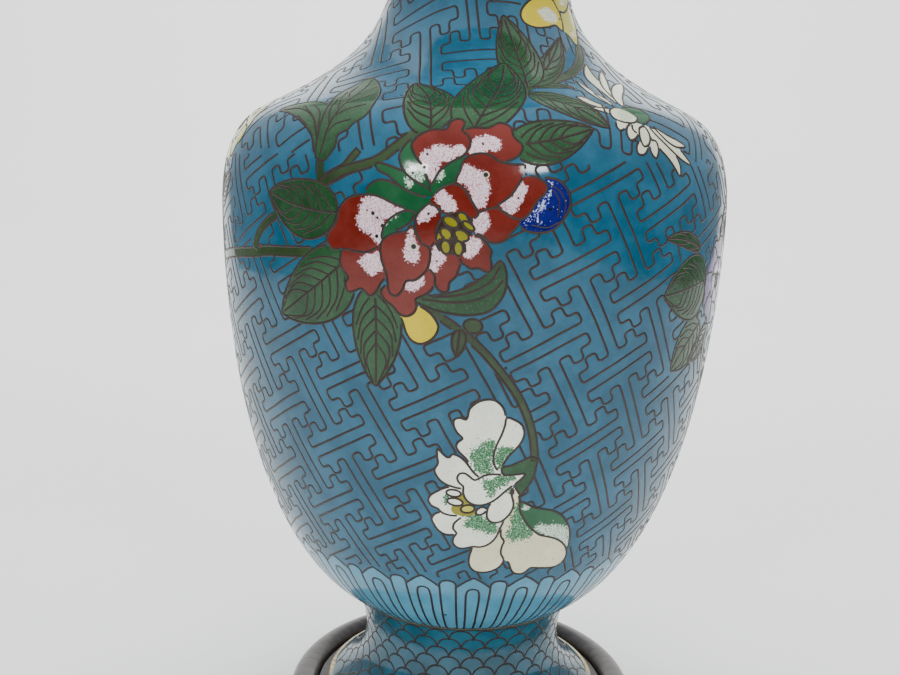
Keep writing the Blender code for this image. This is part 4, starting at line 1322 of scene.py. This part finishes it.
def make_rings():
    for name, z, node in (("joint_bead", JOINT, "joint_ring"), ("mouth_bead", BAND, "mouth_ring")):
        radius = float(BODY.radius(BODY.arc(z))) - RING_WIRE + RING_PROUD
        section = arc_points((radius, z), RING_WIRE, UP, UP - tau * 15 / 16, 16)
        obj = turned(name, section, materials["ring"], "vase")
        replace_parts(obj, node)
    outer = MOUTH_RADIUS + RING_PROUD
    inner = outer - LIP_WIDTH
    edge = RING_EDGE
    lip = arc_points((outer - edge, LIP - edge), edge, UP, 0, 5) + [(outer, LIP_BOTTOM), (inner, LIP_BOTTOM)]
    lip += arc_points((inner + edge, LIP - edge), edge, pi, UP, 5)
    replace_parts(turned("lip_band", lip, materials["gilt"], "vase"), "lip_ring")
    inner = FOOT_RIM_RADIUS - FOOT_RIM_WIDTH
    rim = arc_points((FOOT_RIM_RADIUS - edge, FOOT_TOP - edge), edge, UP, 0, 5)
    rim += [(FOOT_RIM_RADIUS, FOOT_BOTTOM), (inner, FOOT_BOTTOM)]
    rim += arc_points((inner + edge, FOOT_TOP - edge), edge, pi, UP, 5)
    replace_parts(turned("foot_band", rim, materials["gilt"], "vase"), "foot_rim")


AXIS_GAP = 0.01            # a turned solid's section stops this far from the axis
BASE_WAIST_DEPTH = 6.5
BASE_WAIST_LIFT = 1.2
BASE_ROUND = 2.4
RING_EDGE = 0.6            # rounding of the gilt rings


def make_stand():
    half = (STAND_RADIUS - RECESS_RADIUS) / 2
    top, bottom = high("stand_rim", 2), low("stand_rim", 2)
    ring = arc_points((RECESS_RADIUS + half, top - half), half, pi, 0, 25)
    ring += [(STAND_RADIUS, bottom), (RECESS_RADIUS, bottom)]
    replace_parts(turned("stand_ring", ring, materials["wood"], "stand"), "stand_rim")
    # the recess floor takes the darker recess wood, painted shade
    floor_top, floor_bottom = high("stand_panel", 2), low("stand_panel", 2)
    radius = RECESS_RADIUS - GAP
    panel = [(AXIS_GAP, floor_top), (radius, floor_top), (radius, floor_bottom), (AXIS_GAP, floor_bottom)]
    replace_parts(turned("stand_floor", panel, materials["recess"], "stand"), "stand_panel")
    base_top, base_bottom = high("stand_base", 2), low("stand_base", 2)
    edge = high("stand_base", 0)
    waist = edge - BASE_WAIST_DEPTH
    middle = (base_top + base_bottom) / 2 + BASE_WAIST_LIFT
    base = [(AXIS_GAP, base_top), (edge - 3.3, base_top), (edge - 3.0, base_top - 0.6)]
    base += [(waist + 1.6, base_top - 1.4), (waist + 0.3, middle + 0.8), (waist, middle)]
    base += [(waist + 0.8, middle - 1.2), (edge - 2.6, middle - 2.2)]
    base += arc_points((edge - BASE_ROUND, base_bottom + 2.6), BASE_ROUND, UP, -UP * 0.8, 9)
    base += [(edge - 2.6, base_bottom), (AXIS_GAP, base_bottom)]
    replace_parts(turned("stand_body", base, materials["wood"], "stand"), "stand_base")


def paint_cad():
    by_slot = {"hardwood": "wood", "recess_wood": "recess", "copper": "copper", "counter_enamel": "lining",
               "gilt": "gilt", "ring_wire": "ring", "turquoise_enamel": "ground", "pale_enamel": "pale",
               "scale_enamel": "scale"}
    for part in frame["record"]["subparts"]:
        node = frame["nodes"][part["node"]]
        node.data.materials.clear()
        node.data.materials.append(materials[by_slot[part["material_slot"]]])


# ---- stage, light and camera ----

def make_stage():
    """A paper sweep: a floor that bends up into a wall.  Metres."""
    width, front_y, back_y, wall = 0.85, -1.6, 1.1, 1.6
    bend = 0.5
    section = [(front_y, 0.0), (back_y - bend, 0.0)]
    section += [(back_y - bend + bend * sin(a), bend - bend * cos(a)) for a in np.linspace(0.1, UP, 14)]
    section += [(back_y, wall)]
    points = [(x, y, z) for y, z in section for x in (-width, width)]
    faces = [(2 * i, 2 * i + 1, 2 * i + 3, 2 * i + 2) for i in range(len(section) - 1)]
    mesh = bpy.data.meshes.new("sweep")
    mesh.from_pydata(points, [], faces)
    mesh.materials.append(plain_stage("sweep_paper", srgb(244, 245, 243), 0.02))
    mesh.shade_smooth()
    sweep = bpy.data.objects.new("sweep", mesh)
    bpy.context.scene.collection.objects.link(sweep)


def soft_light(name, place, target, size, power, mirrored=True):
    data = bpy.data.lights.new(name, "AREA")
    data.shape = "RECTANGLE"
    data.size, data.size_y = size
    data.energy = power
    lamp = bpy.data.objects.new(name, data)
    lamp.visible_glossy = mirrored
    lamp.location = place
    lamp.rotation_mode = "QUATERNION"
    lamp.rotation_quaternion = (Vector(target) - Vector(place)).to_track_quat("-Z", "Y")
    bpy.context.scene.collection.objects.link(lamp)


SKY_AXIS = (0.0, 0.3, 1.0)
SKY_RANGE = (-0.3, 1.1, 0.10, 1.30)      # direction from, to; strength from, to
LAMP_DISTANCE = 1.1
LAMP_POWER = 2.6
LAMP_LEFT = (PEONY_ANGLE - 7.5, PEONY_S + 12.5)      # where each lamp glints on the shoulder
LAMP_RIGHT = (PEONY_ANGLE + 14.0, PEONY_S + 13.0)


def lit_place(spot):
    return BODY.places(np.array([radians(spot[0])]), np.array([spot[1]]))[0]


def lamp_place(spot):
    """Where a lamp must stand for the camera to see it mirrored at a spot of the vase."""
    place = Vector(lit_place(spot))
    normal = Vector(BODY.normals(np.array([radians(spot[0])]), np.array([spot[1]]))[0])
    view = (Vector(CAMERA_PLACE) - place).normalized()
    return place + (2 * normal.dot(view) * normal - view) * LAMP_DISTANCE


def make_light():
    world = bpy.data.worlds.new("studio")
    world.use_nodes = True
    tree = world.node_tree
    aim = tree.nodes.new("ShaderNodeTexCoord")
    height = tree.nodes.new("ShaderNodeVectorMath")
    height.operation = "DOT_PRODUCT"
    height.inputs[1].default_value = SKY_AXIS
    glow = tree.nodes.new("ShaderNodeMapRange")
    glow.interpolation_type = "SMOOTHSTEP"
    for socket, value in zip(("From Min", "From Max", "To Min", "To Max"), SKY_RANGE):
        glow.inputs[socket].default_value = value
    tree.links.new(aim.outputs["Generated"], height.inputs[0])
    tree.links.new(height.outputs["Value"], glow.inputs["Value"])
    tree.nodes["Background"].inputs["Color"].default_value = (0.96, 0.99, 1.0, 1.0)
    tree.links.new(glow.outputs["Result"], tree.nodes["Background"].inputs["Strength"])
    bpy.context.scene.world = world
    soft_light("backdrop", (0.0, 0.7, 0.85), (0, 1.1, 0.5), (2.4, 0.3), 15, mirrored=False)
    soft_light("top", (0.0, 0.0, 1.0), (0, 0, 0.14), (0.7, 0.4), 9.0, mirrored=False)
    soft_light("lamp_left", lamp_place(LAMP_LEFT), lit_place(LAMP_LEFT), (0.16, 0.10), LAMP_POWER)
    soft_light("lamp_right", lamp_place(LAMP_RIGHT), lit_place(LAMP_RIGHT), (0.22, 0.10), LAMP_POWER)


CAMERA_PLACE = (0.0, -0.2618, 0.1625)
CAMERA_YAW = -0.0198
CAMERA_PITCH = 0.1666
CAMERA_ROLL = 0.0247


def make_camera():
    data = bpy.data.cameras.new("camera")
    data.lens = 40.0
    data.sensor_width = 36.0
    data.clip_start = 0.01
    camera = bpy.data.objects.new("camera", data)
    ahead = Vector((sin(CAMERA_YAW) * cos(CAMERA_PITCH), cos(CAMERA_YAW) * cos(CAMERA_PITCH),
                    -sin(CAMERA_PITCH)))
    camera.location = CAMERA_PLACE
    camera.rotation_mode = "QUATERNION"
    camera.rotation_quaternion = ahead.to_track_quat("-Z", "Y") @ Quaternion((0, 0, 1), CAMERA_ROLL)
    bpy.context.scene.collection.objects.link(camera)
    bpy.context.scene.camera = camera


def main():
    paint_cad()
    make_stand()
    make_skins()
    make_rings()
    motifs = {
        "front": large_spray(Motif(PEONY_ANGLE, PEONY_S), "red"),
        "front_low": white_peony(Motif(WHITE_ANGLE, WHITE_S), "white", "ivory"),
        "back": back_spray(),
        "back_low": white_peony(Motif(BACK_ANGLE - BACK_LOW_SHIFT, WHITE_S - BACK_DROP, mirror=True),
                                "cream", "lemon"),
        "right_side": right_side(),
        "left_side": left_side(),
    }
    cells = []
    for motif in motifs.values():
        for outline in motif.outlines():
            flat = outline * (FLAT_RADIUS, 1.0)
            for shift in (0.0, -tau, tau):
                moved = flat + (shift * FLAT_RADIUS, 0.0)
                if moved[:, 0].max() > -pi * FLAT_RADIUS and moved[:, 0].min() < pi * FLAT_RADIUS:
                    cells.append(moved)
    for name, motif in motifs.items():
        motif.make(name)
    lappets = BODY.arc(LAPPET_TOP) + FOOT_OF_FRET
    band = BODY.arc(BAND) - HEAD_OF_FRET
    body_fret(lappets, BODY_FRET_TOP, cells).make("body_fret")
    shoulder_fret(BODY_FRET_TOP, NECK_FRET_FOOT, cells).make("shoulder_fret")
    neck_fret(NECK_FRET_FOOT, band, cells).make("neck_fret")
    lappet_band("lappets", 3.0)
    lappet_band("mouth_lappets", 2.8, MOUTH_SCALE, BODY.arc(BAND) + MOUTH_BAND)
    foot_scales()
    make_stage()
    make_light()
    make_camera()


main()
